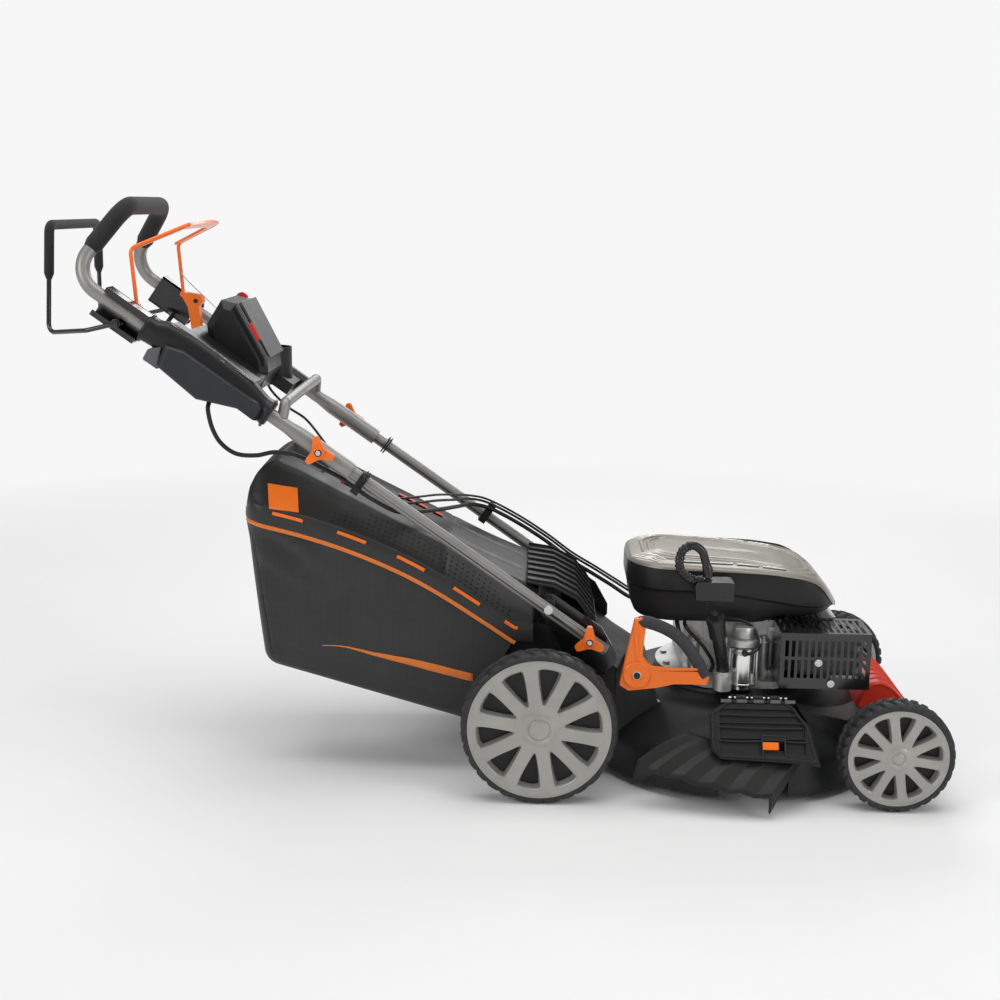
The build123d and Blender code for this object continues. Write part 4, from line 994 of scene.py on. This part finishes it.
def engine_shroud():
    """Black shroud under the cover: a satin upper band, a falling crease and a tucked-in lower panel."""
    levels = [(1.0, 2.0), (1.0, 0.4), (0.93, -1.0), (0.78, -1.6), (0.6, -1.8), (0.48, -1.2), (0.455, 1.4),
              (0.43, 3.2), (0.3, 4.4), (0.14, 8.0), (0.03, 14.0), (0.0, 18.0), (0.02, 22.0), (0.2, 25.0)]
    shape = Shape()
    rows = []
    for share, inset in levels:
        ring = []
        for x, y in outline_ring(162.5 + inset, 555.5 - inset, HOOD_HALF - inset, 85 - inset * 0.8):
            top = split_height(x) + 1.0
            bottom = 291.0 + 13.0 * smooth(x, 405, 440) + 4.0 * smooth(x, 480, 560)
            crease = 352.0 - 32.0 * smooth(x, 270, 570)
            if share > 0.455:
                z = crease + (top - crease) * (share - 0.455) / 0.545
            else:
                z = bottom + (crease - bottom) * share / 0.455
            ring.append(Vector((x, y, z)))
        rows.append(ring)
    shape.grid(rows, "shroud_plastic", closed=True, pick=lambda i,
               _: "shroud_lower" if 7 <= i <= 10 else None)
    shape.piece("shroud_shell", "chassis", ["engine_shroud"], merge=0.05, angle=26)
    guide = Shape()
    guide.plate([(277, 353), (345, 352), (346, 386), (338, 388), (280, 387), (275, 381)], -196, -152,
                "filler_plastic")
    guide.plate([(279, 355), (343, 354), (344, 384), (280, 384)], -154, -116, "filler_plastic")
    guide.plate([(290, 352.5), (333, 352), (329, 344), (296, 344)], -190, -126, "shroud_plastic")
    guide.turn([(7.5, 0), (7.5, 3.5), (5.2, 4.0), (4.6, 1.0)], (299, -180, 386.5), (0, 0, 1),
               "filler_plastic", 24)
    guide.piece("rope_guide", "chassis", bevel=2.0, segments=3)


engine_shroud()


def starter_grip():
    """Ribbed pull loop with its rope end."""
    shape = Shape()
    arc = spline([(290, -182, 388), (268, -184, 390), (248, -184, 410), (250, -183, 440), (268, -181, 452),
                  (286, -180, 442), (293, -180, 424), (299, -180, 404)], 150)

    def ribbed(share):
        if share < 0.62:
            return 6.0 + 1.1 * smooth(math.sin(share * 2 * math.pi * 24), -0.2, 0.5)
        return 6.2 + 1.6 * smooth(share, 0.9, 1.0)

    shape.tube(arc, ribbed, "filler_plastic", 18, squash=(1.0, 1.25))
    shape.turn([(5.0, -2), (8.0, 0), (8.4, 8), (7.2, 14), (4.0, 17)], (299, -180, 394), (0, 0, 1),
               "filler_plastic", 24)
    shape.piece("starter_loop", "starter_grip", ["starter_grip"], angle=40)


starter_grip()


def starter_motor():
    """Bright drawn can of the electric starter with its end caps, tie bolts and lead."""
    shape = Shape()
    base = 184.0
    x, y = 372, -150
    can = [(17, -8), (17, 0), (24, 0.5), (27, 3), (27.2, 6), (26.2, 7), (26.2, 62), (27.4, 63), (27.6, 70),
           (26.8, 73), (24, 75), (20, 77.5)]
    shape.turn(can, (x, y, base), (0, 0, 1), "starter_steel", 64)
    shape.turn([(27.5, 64), (28.0, 65), (28.0, 69), (27.4, 70)], (x, y, base), (0, 0, 1), "cast_aluminium",
               64)
    for angle in (math.radians(210), math.radians(330)):
        bolt_x = x + 29.0 * math.cos(angle)
        bolt_y = y + 29.0 * math.sin(angle)
        shape.tube([(bolt_x, bolt_y, base + 1), (bolt_x, bolt_y, base + 72)], 2.2, "zinc_steel", 10)
        shape.bolt((bolt_x, bolt_y, base + 71), (0, 0, 1), 4.2, "zinc_steel")
    shape.turn([(20, 0), (20, 18), (18, 21), (8, 22)], (x, y, 274.5), (0, 0, 1), "cast_aluminium", 48)
    shape.piece("starter_can", "chassis", ["starter_motor"], angle=35, bevel=0.4)
    lead = Shape()
    lead.tube(spline([(372, -178, 252), (378, -190, 254), (392, -188, 262), (398, -168, 270),
                      (380, -150, 300),
                      (330, -130, 306)], 40), 3.0, "cable_jacket", 12)
    lead.turn([(5.5, 0), (5.8, 9), (4.2, 12)], (372, -175, 252), (0, -1, 0), "filler_plastic", 20)
    lead.piece("starter_lead", "chassis")


starter_motor()


def engine_detail():
    """Bolts, ribs, hoses and the carburettor side of the engine."""
    shape = Shape()
    for x, y in ((288, -104), (418, -104), (288, 104), (418, 104)):
        shape.turn([(12.5, 0), (12.5, 4), (9.5, 6), (9.5, 10)], (x, y, 249), (0, 0, 1), "cast_aluminium", 28)
        shape.bolt((x, y, 258), (0, 0, 1), 6.5, "zinc_steel")
    for x in (282, 306, 330, 400, 426):
        rib = [(x - 2.5, 184), (x + 2.5, 184), (x + 1.6, 290), (x - 1.6, 290)]
        for y in (-104, 96):
            shape.plate(rib, y, y + 8, "cast_aluminium")
    for x, z in ((272, 200), (272, 276), (434, 200), (434, 276), (352, 276)):
        for side in (-1, 1):
            shape.bolt((x + (4 if x < 300 else -4), side * 99.5, z), (0, side, 0), 5.2, "zinc_steel")
    for number in range(12):
        angle = 2 * math.pi * (number + 0.5) / 12
        x = 372 + 132 * math.cos(angle)
        y = 132 * math.sin(angle)
        if abs(y) < 122 and 210 < x < 540:
            shape.bolt((x, y, 182), (0, 0, 1), 6.0, "zinc_steel")
    shape.turn([(17.5, 0), (17.5, 5), (14.0, 6), (14.0, 9)], (334, -178, 208), (0, 0, 1), "cast_aluminium",
               32)
    shape.piece("engine_fittings", "chassis", bevel=0.5)
    hoses = Shape()
    for route, count, radius in (
            ([(268, -60, 285), (255, -96, 288), (262, -122, 262), (282, -126, 226), (300, -118, 196)], 30,
             4.0),
            ([(276, -70, 292), (270, -112, 280), (300, -128, 250), (322, -124, 214), (318, -112, 190)], 30,
             3.4),
            ([(430, -60, 298), (452, -104, 300), (470, -112, 292), (560, -96, 262), (574, -30, 252),
              (574, 0, 250)], 40, 3.6)):
        hoses.tube(spline(route, count), radius, "cable_jacket", 12)
    hoses.turn([(7, 0), (7.4, 14), (5, 20)], (574, 0, 250), (-1, 0, 0), "filler_plastic", 20)
    hoses.piece("engine_hoses", "chassis")


engine_detail()

# ---------------------------------------------------------------- handle details

TUBE_SLOPE = 0.6985
TUBE_ALONG = Vector((1.0, 0.0, -TUBE_SLOPE)).normalized()
TUBE_NORMAL = Vector((TUBE_SLOPE, 0.0, 1.0)).normalized()
TUBE_HALF = 190.0


def tube_height(x):
    return 575.9 - TUBE_SLOPE * (x + 340.7)


def on_tube(x, y, lift=0.0):
    """Point on a straight handle tube at x, lifted at right angles to it."""
    return Vector((x, y, tube_height(x))) + TUBE_NORMAL * lift


def tube_frame(x, y):
    """Frame at a handle tube: local x down the tube, local y across the machine, local z away from it."""
    spot = on_tube(x, y)
    return Matrix((
        (TUBE_ALONG.x, 0.0, TUBE_NORMAL.x, spot.x),
        (0.0, 1.0, 0.0, spot.y),
        (TUBE_ALONG.z, 0.0, TUBE_NORMAL.z, spot.z),
        (0.0, 0.0, 0.0, 1.0),
    ))


def foam_sleeve(name, body, replaced, path, thin, extra, sides):
    """Foam along a bow, slightly crowned, with rounded ends."""
    shape = Shape()
    shape.tube(path, lambda share: thin + extra * min(1.0, (min(share, 1 - share) / 0.012)) ** 0.5, "foam",
               sides)
    shape.piece(name, body, [replaced], angle=60)


def foam_grips():
    """Foam on the handle's bow and on the drive bail."""
    corner = Vector((-830.0, -TUBE_HALF, tube_height(-830.0)))
    top = Vector((-746.0, -128.0, 1035.0))
    start = corner.lerp(top, 0.36)
    bow = rounded([start, top, (top.x, -top.y, top.z), (start.x, -start.y, start.z)], 52, 16)
    foam_sleeve("foam_sleeve", "upper_handle", "grip_foam", denser(bow, 6), 12.8, 3.4, 32)
    bail = rounded([(-883, -145, 906), (-880, -138, 1000), (-880, 138, 1000), (-883, 145, 906)], 16, 10)
    foam_sleeve("drive_foam_sleeve", "drive_bail", "drive_bail_foam", denser(bail, 8), 5.0, 3.7, 24)


foam_grips()


def lift_grip():
    """Soft over-moulded grip of the height lever."""
    shape = Shape()
    path = spline([(172, -236.5, 326), (196, -236.5, 322), (222, -236.5, 312), (244, -236.5, 298),
                   (264, -236.5, 276), (281, -236.5, 250), (294, -236.5, 226)], 60)
    shape.tube(path, lambda share: 8.0 + 3.2 * smooth(share, 0.0,
                                                      0.06) * (1 - 0.25 * smooth(share, 0.9, 1.0)),
               "soft_grip", 24, squash=(0.95, 1.0))
    for share in (0.1, 0.16, 0.84, 0.9):
        spot = path[int(share * 59)]
        ahead = (path[int(share * 59) + 1] - spot).normalized()
        shape.turn([(10.6, -1.2), (11.6, -0.6), (11.6, 0.6), (10.6, 1.2)], spot, ahead, "soft_grip", 32)
    shape.piece("lift_grip_soft", "lift_lever", ["lift_grip"], angle=50)
    hub = Shape()
    hub.turn([(24.5, 0), (24.5, 2.0), (22.5, 3.6), (20.5, 3.0), (10.0, 2.6), (9.0, 3.4), (0, 3.8)],
             (172, -244.5, 228), (0, -1, 0), "orange_plastic", 56)
    hub.plate([(163, 318), (170, 322), (176, 262), (198, 246), (232, 243), (284, 243), (284, 239), (230, 237),
               (194, 240), (170, 258)], -245.6, -243.6, "orange_plastic")
    hub.bolt((172, -247.6, 228), (0, -1, 0), 6.0, "zinc_steel", height=2.4)
    hub.piece("lift_lever_hub", "lift_lever", bevel=0.7, angle=40)


lift_grip()


def knob_bolts():
    """Plated bolt heads in the star knobs."""
    for node in ("sleeve_knob_near", "sleeve_knob_far", "lock_knob_near", "lock_knob_far"):
        low, high = (corner * 1000 - FRAME_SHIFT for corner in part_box(node))
        side = -1 if low.y + high.y < 0 else 1
        outer = max(abs(low.y), abs(high.y))
        x, z = (-396.5, tube_height(-396.5)) if node.startswith("sleeve") else (87.7, 278.5)
        shape = Shape()
        shape.turn([(8.6, -3), (8.6, 0.2), (7.4, 1.0), (6.8, 0.4)], (x, side * (outer - 0.4), z),
                   (0, side, 0),
                   "orange_plastic", 32)
        shape.bolt((x, side * (outer - 1.2), z), (0, side, 0), 5.2, "zinc_steel", height=3.0)
        shape.piece(node + "_bolt", node, bevel=0.4)


knob_bolts()


def bail_brackets():
    """Folded channels on the inner side of both tubes, open towards the outside, joined by the cross link."""
    shape = Shape()
    for side in (-1, 1):
        shape.place = tube_frame(-739.0, side * TUBE_HALF)
        for inner, outer, low, high in ((16.0, 19.0, -34, 22), (-14.0, 19.0, 17.5, 21.5),
                                        (-14.0, 19.0, -36, -32),
                                        (-14.0, -11.0, 12, 18), (-14.0, -11.0, -33, -26)):
            shape.box(-44.0, 44.0, *sorted((-side * inner, -side * outer)), low, high, "guard_paint")
        shape.place = Matrix.Identity(4)
        shape.bolt((-722, side * 171, 863), (0, -side, 0), 4.5, "zinc_steel", height=3)
        shape.bolt((-750, side * 205, 834), (0, side, 0), 4.5, "zinc_steel", height=3)
        shape.turn([(8, -22), (8, 0), (6, 1)], (-750, side * 205, 834), (0, side, 0), "guard_paint", 28)
    link = rounded([on_tube(-742, -178, -27), (-740, -150, 824), (-730, 0, 796), (-740, 150, 824),
                    on_tube(-742, 178, -27)], 24, 10)
    shape.tube(link, 4.5, "guard_paint", 20)
    shape.turn([(4, 0), (4, 44)], (-690, 130, 852), (0, 1, 0), "guard_paint", 20)
    shape.plate([(-716, 856), (-698, 862), (-682, 856), (-684, 836), (-712, 836)], 173, 177, "guard_paint")
    shape.piece("bracket_channels", "upper_handle", ["bail_brackets"], bevel=0.8, angle=40)
    wires = Shape()
    route = [(-724, -74, 806), (-700, -60, 800), (-655, -40, 786), (-606, -20, 768)]
    wires.tube(spline(route, 20), 1.1, "machined_steel", 8)
    wires.turn([(3.2, 0), (3.2, 16), (2.0, 20)], (-727, -76, 806.5), (27, 14, -6), "zinc_steel", 16)
    wires.turn([(6.0, -3), (6.0, 3)], (-734, -82, 808), (10, -40, 8), "zinc_steel", 20)
    wires.piece("drive_wire", "upper_handle")
    brake = Shape()
    brake.tube([(-726, 160, 906), (-700, 130, 888), (-640, 70, 848), (-598, 30, 822)], 1.1, "machined_steel",
               8)
    item = brake.piece("brake_wire", None)
    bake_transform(item)


bail_brackets()


def console_detail():
    """Saddle over the near tube, battery box with its cap, status lights and the seams of the pod."""
    shape = Shape()
    rows = []
    for x, wide, tall, low, out in ((-702, 26, 23, -20, -24), (-698, 28, 25, -23, -26),
                                    (-688, 26, 26, -22, -24),
                                    (-672, 24, 34, -21, -23), (-640, 34, 38, -21, -23),
                                    (-600, 40, 38, -21, -23),
                                    (-560, 40, 36, -21, -23), (-532, 34, 33, -21, -23),
                                    (-514, 27, 28, -21, -23),
                                    (-500, 26, 24, -21, -23), (-490, 29, 25, -23, -26),
                                    (-485, 27, 22, -21, -24)):
        spot = tube_frame(x, -TUBE_HALF)
        row = []
        for a in circle(36):
            c = math.cos(a)
            d = math.sin(a)
            across = (wide if c > 0 else -out) * math.copysign(abs(c) ** 0.75, c)
            above = (tall if d > 0 else -low) * math.copysign(abs(d) ** 0.75, d)
            row.append(spot @ Vector((0.0, across, above)))
        rows.append(row)
    smooth_rows = [spline(column, 60) for column in zip(*rows)]
    rings = [[column[k] for column in smooth_rows] for k in range(60)]
    shape.grid(rings, "console_plastic", closed=True, caps=True)
    for x in (-699, -489):
        shape.turn([(27.5, -2.0), (28.2, -1.0), (28.2, 1.0), (27.5, 2.0)], on_tube(x, -TUBE_HALF), TUBE_ALONG,
                   "console_plastic", 48)
    shape.piece("console_saddle", "upper_handle", angle=50)
    lights = Shape()
    for index in range(4):
        lights.place = tube_frame(-640 + index * 19.0, -TUBE_HALF)
        lift = 38.5 + (0.6 if index in (1, 2) else 0.0)
        lights.turn([(2.6, -2), (2.6, 0.0), (1.6, 0.5)], (0, -6, lift - 2.2), (0, -0.5, 1), "glow", 14)
        lights.box(-4, 4, -14.5, -13, 30.5, 33.2, "pale_bronze_and_highlight")
    lights.place = Matrix.Identity(4)
    lights.piece("status_lights", "upper_handle")
    box = Shape()
    rings = []
    outline = [(-662, 801), (-678, 764), (-610, 706), (-536, 690), (-506, 668), (-494, 690), (-500, 702),
               (-630, 792)]
    for y, grow in ((-176, 0.97), (-214, 1.0), (-222, 0.98), (-227, 0.9)):
        rings.append([(mix(-588, x, grow), y, mix(738, z, grow)) for x, z in outline])
    box.grid(rings, "battery_plastic", closed=True, caps=True)
    box.plate([(-668, 796), (-693, 792), (-703, 774), (-677, 756)], -216, -184, "battery_cap")
    box.piece("battery_case", "upper_handle", ["battery_box"], bevel=3.0, segments=3)
    strip = Shape()
    strip.plate([(-563, 864), (-510, 765), (-509, 748), (-514, 750), (-516, 764), (-567, 859)], -75.5, -70,
                "battery_cap")
    strip.plate([(-545, 826), (-538, 829), (-522, 798), (-529, 795)], -76, -72, "red_plastic")
    strip.plate([(-563, 863), (-510, 764), (-507, 764), (-559, 866)], -60, 74, "battery_cap")
    strip.piece("pod_edge_trim", "upper_handle", bevel=0.7)


console_detail()

# ---------------------------------------------------------------- cables


def cable(name, points, radius, body, other=None, replaced=()):
    """Jacketed cable along a smooth curve; with other it rides on no body."""
    shape = Shape()
    path = spline(points, len(points) * 9)
    shape.tube(path, radius, "cable_jacket", 16)
    item = shape.piece(name, None if other else body, replaced, angle=60)
    if other:
        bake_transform(item)
    return item


near_clip = on_tube(-322, -190, -20)
inner_clip = on_tube(-322, -168, -14)
cable("harness_upper_run", [(-590, -205, 700), (-590, -215, 686), (-583, -215, 654), (-568, -215, 628),
                            (-542, -214, 610),
                            (-508, -210, 607), (-476, -203, 612), (-440, -195, 606), (-398, -190.5, 585),
                            on_tube(-350, -190, -20.5), near_clip], 4.0, "upper_handle", "lower_handle",
      ["harness_upper"])
cable("harness_lower_run", [near_clip, on_tube(-298, -190, -19.6), (-264, -166, 501), (-230, -112, 490),
                            (-196, -30, 477), (-168, 58, 464), (-144, 128, 454), (-108, 162, 440),
                            (-50, 169.5, 409), (10, 169.5, 371), (60, 169.5, 333), (104, 166, 307),
                            (142, 149, 288), (180, 114, 272),
                            (224, 84, 262), (270, 72, 258)], 4.0, "lower_handle", "chassis",
      ["harness_lower"])
cable("control_upper_run", [(-540, 60, 720), (-532, 60, 690), (-498, 50, 658), (-456, 10, 640),
                            (-416, -60, 616),
                            (-380, -126, 588), on_tube(-350, -164, -13.5), inner_clip], 2.5, "upper_handle",
      "lower_handle", ["control_cable_upper"])
cable("control_lower_run", [inner_clip, on_tube(-298, -170, -13.8), (-267, -150, 513), (-234, -100, 504),
                            (-200, -20, 492),
                            (-170, 62, 477), (-146, 126, 466), (-110, 161, 451),
                            (-50, 169.5, 419), (10, 169.5, 381),
                            (62, 169.5, 343), (112, 162, 315), (148, 139, 298), (186, 101, 284),
                            (228, 70, 276),
                            (270, 58, 273)], 2.5, "lower_handle", "chassis",
      ["control_cable_lower"])
cable("throttle_cable_run", [inner_clip + Vector((0, 3, 4)), on_tube(-298, -166, -9.5), (-268, -140, 520),
                             (-236, -88, 512), (-202, -10, 501), (-172, 66, 486), (-147, 126, 473),
                             (-110, 160, 458), (-50, 168, 426), (10, 168, 388), (62, 168, 350),
                             (112, 160, 322), (148, 137, 305), (186, 98, 291),
                             (228, 66, 283), (272, 50, 280)], 2.2, "lower_handle", "chassis")
rope = Shape()
rope.tube([(299, -180, 377 + 2.5 * n) for n in range(11)], 2.2, "rope", 12)
rope_piece = rope.piece("starter_cord", None, ["starter_rope"])
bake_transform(rope_piece)

# ---------------------------------------------------------------- side outlet


def side_chute():
    """Ramp of the side outlet: a pleated sheet that widens outward, with a hanging fin at each end."""
    shape = Shape()
    columns = 60
    inner_edge = [(0.0, 268, -262, 128), (0.35, 330, -268, 112), (0.7, 402, -272, 104), (1.0, 474, -268, 102)]
    outer_edge = [(0.0, 176, -296, 85), (0.25, 214, -312, 70), (0.5, 272, -326, 58), (0.75, 338, -337, 47),
                  (1.0, 402, -342, 40)]

    def edge_point(edge, u):
        return Vector([between([(stop[0], stop[k]) for stop in edge], u) for k in (1, 2, 3)])

    rows = []
    for i in range(13):
        v = i / 12
        row = []
        for j in range(columns + 1):
            u = j / columns
            pleat = abs((u * 5.0) % 1.0 - 0.5) * 2.0
            spot = edge_point(inner_edge, u).lerp(edge_point(outer_edge, u), v)
            spot.z += 5.0 * math.sin(math.pi * v) + 5.5 * (pleat - 0.5) * smooth(v, 0.0, 0.6)
            row.append(spot)
        rows.append(row)
    shape.grid(rows, "chute_plastic")
    left = []
    right = []
    for i, row in enumerate(rows):
        v = i / 12
        first = row[0]
        last = row[-1]
        left.append([first, first + Vector((-1, 1, -5)),
                     Vector((first.x - 10 * v, first.y + 2, first.z - 10 - 36 * v))])
        right.append([last, last + Vector((0.5, 0, -4)),
                      Vector((last.x + 1, last.y, max(8.0, last.z - 10 - 20 * v)))])
    web = []
    for j in range(16):
        rest = 1 - j / 15
        edge = rows[-1][j]
        web.append([edge, edge + Vector((0, 2, -3 - 4 * rest)),
                    Vector((edge.x - 9 * rest, edge.y + 4, edge.z - 5 - 40 * rest ** 1.3))])
    for sheet in (left, right, web):
        shape.grid(sheet, "chute_plastic")
    ramp = shape.piece("chute_ramp", "chassis", ["side_chute"], merge=0.05, angle=18)
    thicken(ramp, 0.003, 0.0)


side_chute()

# ---------------------------------------------------------------- flap, bumper, guard screws, cable ties


def flap_detail():
    """Raised rim, three ribs and the latch frame on the outer face of the flap, and grey hinge blocks."""
    shape = Shape()
    shape.place = Matrix.Translation((0, -236, 186)) @ Matrix.Rotation(math.radians(-124.5), 4, "X")
    outline = [(338, 8), (434, 8), (450, 19), (474, 53), (489, 117), (470, 113), (400, 109), (321, 107),
               (308, 94),
               (307, 32), (321, 22), (338, 8)]
    rim = rounded([(x, along, -6.5) for x, along in outline], 8, 5)
    shape.tube(rim, 2.9, "black_plastic", 10)
    for along, left, right in ((32, 318, 456), (55, 316, 468), (79, 314, 392), (79, 438, 476)):
        shape.tube([(left + (right - left) * n / 8, along + 1.5 * math.sin(math.pi * n / 8), -6.6)
                    for n in range(9)], 1.9, "black_plastic", 8)
    latch = rounded([(394, 70, -7), (434, 70, -7), (434, 108, -7), (394, 108, -7), (394, 70, -7)], 3, 4)
    shape.tube(latch, 2.4, "black_plastic", 8)
    shape.box(396, 432, 72, 79, -8.2, -5, "black_plastic")
    for x in (332, 360, 390, 420, 446):
        shape.box(x - 9, x + 9, 5, 11, -10.5, -6, "battery_cap")
    shape.piece("flap_rim", "side_flap", bevel=0.5, angle=60)


flap_detail()


def front_bumper():
    """Red crescent bumper with rounded edges, ribs across its front and a carrying edge on top."""
    shape = Shape()
    outer = [(589, 92), (598, 128), (610, 156), (624, 172), (642, 176), (662, 167), (684, 146), (703, 120),
             (714, 96), (706, 90)]
    curve = spline([(x, 0, z) for x, z in outer], 40)
    rows = []
    for y, shrink in ((-104, 7.0), (-103, 3.0), (-99, 0.6), (-90, 0.0), (-30, 0.0), (30, 0.0), (90, 0.0),
                      (99, 0.6), (103, 3.0), (104, 7.0)):
        rows.append([Vector((650 + (p.x - 650) * (1 - shrink / 60), y, 96 + (p.z - 96) * (1 - shrink / 80)))
                     for p in curve])
    shape.grid(rows, "red_plastic")
    for y in (-103.5, 103.5):
        shape.plate([(p.x, p.z) for p in rows[1]] + [(640, 94)], min(y, y * 0.97), max(y, y * 0.97),
                    "red_plastic")
    for y in (-78, -52, -26, 0, 26, 52, 78):
        rib = [Vector((p.x, y, p.z)) for p in curve[14:38]]
        shape.tube(rib, 3.2, "red_plastic", 10, squash=(1.0, 0.8))
    shell = shape.piece("bumper_shell", "chassis", ["front_bumper"], merge=0.05, angle=40)
    thicken(shell, 0.003)


front_bumper()


def screws():
    """Flanged hexagon heads over the plain heads of the guard screws."""
    shape = Shape()
    for x, z, size in ((500, 246, 7.5), (524, 207.5, 6.5)):
        shape.bolt((x, -207, z), (0, -1, 0), size * 0.62, "machined_steel", height=5)
        shape.turn([(size, -2), (size, 0.8), (size * 0.8, 1.6)], (x, -207, z), (0, -1, 0), "steel_dark", 24)
    shape.piece("guard_screw_heads", "chassis", bevel=0.4)


screws()


def cable_ties():
    """Ties that hold the cables to both tubes, and the coil spring of the rear flap."""
    shape = Shape()
    for x in (-322, -318):
        for side in (-1, 1):
            centre = on_tube(x, side * TUBE_HALF)
            ring = [centre + Vector((0, 1, 0)) * (17.2 * math.cos(a)) + TUBE_NORMAL * (17.2 * math.sin(a))
                    for a in circle(32) + [2 * math.pi]]
            shape.tube(ring, 1.5, "cable_jacket", 8)
    for side in (-1, 1):
        shape.place = tube_frame(-320, side * TUBE_HALF)
        shape.box(-5, 5, *((-21, -16) if side < 0 else (16, 21)), 2, 10, "cable_jacket")
        shape.box(-1, 1, *((-26, -20) if side < 0 else (20, 26)), 4, 8, "cable_jacket")
    shape.piece("cable_ties", "lower_handle", bevel=0.3)
    spring = Shape()
    coil = []
    for n in range(221):
        a = 2 * math.pi * n / 20
        coil.append((104 + 5.2 * math.cos(a), -116 + n * 0.19, 256 + 5.2 * math.sin(a)))
    spring.tube(coil, 0.9, "zinc_steel", 8)
    spring.piece("flap_spring", "chassis")


cable_ties()

# ---------------------------------------------------------------- camera and studio

scene = bpy.context.scene
camera = bpy.data.objects.new("camera", bpy.data.cameras.new("camera"))
scene.collection.objects.link(camera)
scene.camera = camera
camera.data.lens = 50.88
camera.data.sensor_width = 36.0
camera.data.clip_end = 60.0
azimuth, elevation, roll = (math.radians(value) for value in (1.46, 11.8, 0.77))
back = Vector((math.sin(azimuth) * math.cos(elevation), -math.cos(azimuth) * math.cos(elevation),
               math.sin(elevation)))
right = Vector((math.cos(azimuth), math.sin(azimuth), 0.0))
upward = right.cross(-back)
level_right = right * math.cos(roll) + upward * math.sin(roll)
level_up = upward * math.cos(roll) - right * math.sin(roll)
camera.matrix_world = Matrix((
    (level_right.x, level_up.x, back.x, 0.0645),
    (level_right.y, level_up.y, back.y, -2.6310),
    (level_right.z, level_up.z, back.z, 1.0453),
    (0.0, 0.0, 0.0, 1.0),
))

ground = bpy.data.meshes.new("floor")
ground.from_pydata([(-30, -30, 0), (30, -30, 0), (30, 30, 0), (-30, 30, 0)], [], [(0, 1, 2, 3)])
floor = bpy.data.objects.new("floor", ground)
scene.collection.objects.link(floor)

# The floor's paper fades into the backdrop's white with the distance from the object.
PAPER_WHITE = (0.93, 0.93, 0.93, 1.0)
pale = Finish("floor_paper", (0.9, 0.9, 0.9), 0.8)
pale.mottle(3.0, 0.01)
reach = pale.node("VectorMath")
reach.operation = "LENGTH"
fade = pale.node("MapRange", From_Min=1.3, From_Max=3.2)
backdrop = pale.node("MixShader")
surface = pale.tree.nodes["Material Output"].inputs["Surface"]
paper = surface.links[0].from_socket
pale.link(pale.node("NewGeometry").outputs["Position"], reach.inputs[0])
pale.link(reach.outputs["Value"], fade.inputs["Value"])
pale.link(fade.outputs["Result"], backdrop.inputs["Fac"])
pale.link(paper, backdrop.inputs[1])
pale.link(pale.node("Emission", Color=PAPER_WHITE).outputs["Emission"], backdrop.inputs[2])
pale.link(backdrop.outputs["Shader"], surface)
ground.materials.append(pale.material)

# A dim white sky lights the machine, and the camera sees a brighter one behind it.
world = bpy.data.worlds.new("studio")
world.use_nodes = True
sky = world.node_tree
sky.nodes["Background"].inputs["Color"].default_value = (1.0, 1.0, 1.0, 1.0)
sky.nodes["Background"].inputs["Strength"].default_value = 0.36
seen = sky.nodes.new("ShaderNodeBackground")
seen.inputs["Color"].default_value = PAPER_WHITE
ray = sky.nodes.new("ShaderNodeLightPath")
choice = sky.nodes.new("ShaderNodeMixShader")
sky.links.new(ray.outputs["Is Camera Ray"], choice.inputs["Fac"])
sky.links.new(sky.nodes["Background"].outputs["Background"], choice.inputs[1])
sky.links.new(seen.outputs["Background"], choice.inputs[2])
sky.links.new(choice.outputs["Shader"], sky.nodes["World Output"].inputs["Surface"])
scene.world = world
scene.view_settings.view_transform = "Standard"


def softbox(name, place, target, width, height, power):
    """Rectangular studio light aimed at a point."""
    lamp = bpy.data.lights.new(name, "AREA")
    lamp.shape = "RECTANGLE"
    lamp.size = width
    lamp.size_y = height
    lamp.energy = power
    item = bpy.data.objects.new(name, lamp)
    item.location = place
    item.rotation_mode = "QUATERNION"
    item.rotation_quaternion = (Vector(place) - Vector(target)).to_track_quat("Z", "Y")
    scene.collection.objects.link(item)


softbox("overhead", (0.0, -0.3, 3.4), (0.0, 0.0, 0.4), 3.4, 2.4, 58.0)
softbox("left_front", (-2.6, -2.4, 2.2), (-0.1, 0.0, 0.4), 1.4, 1.4, 36.0)
softbox("right_front", (2.8, -2.0, 1.6), (0.2, 0.0, 0.4), 1.0, 1.6, 24.0)
softbox("back_rim", (0.4, 2.8, 2.2), (0.0, 0.0, 0.5), 2.4, 1.2, 34.0)
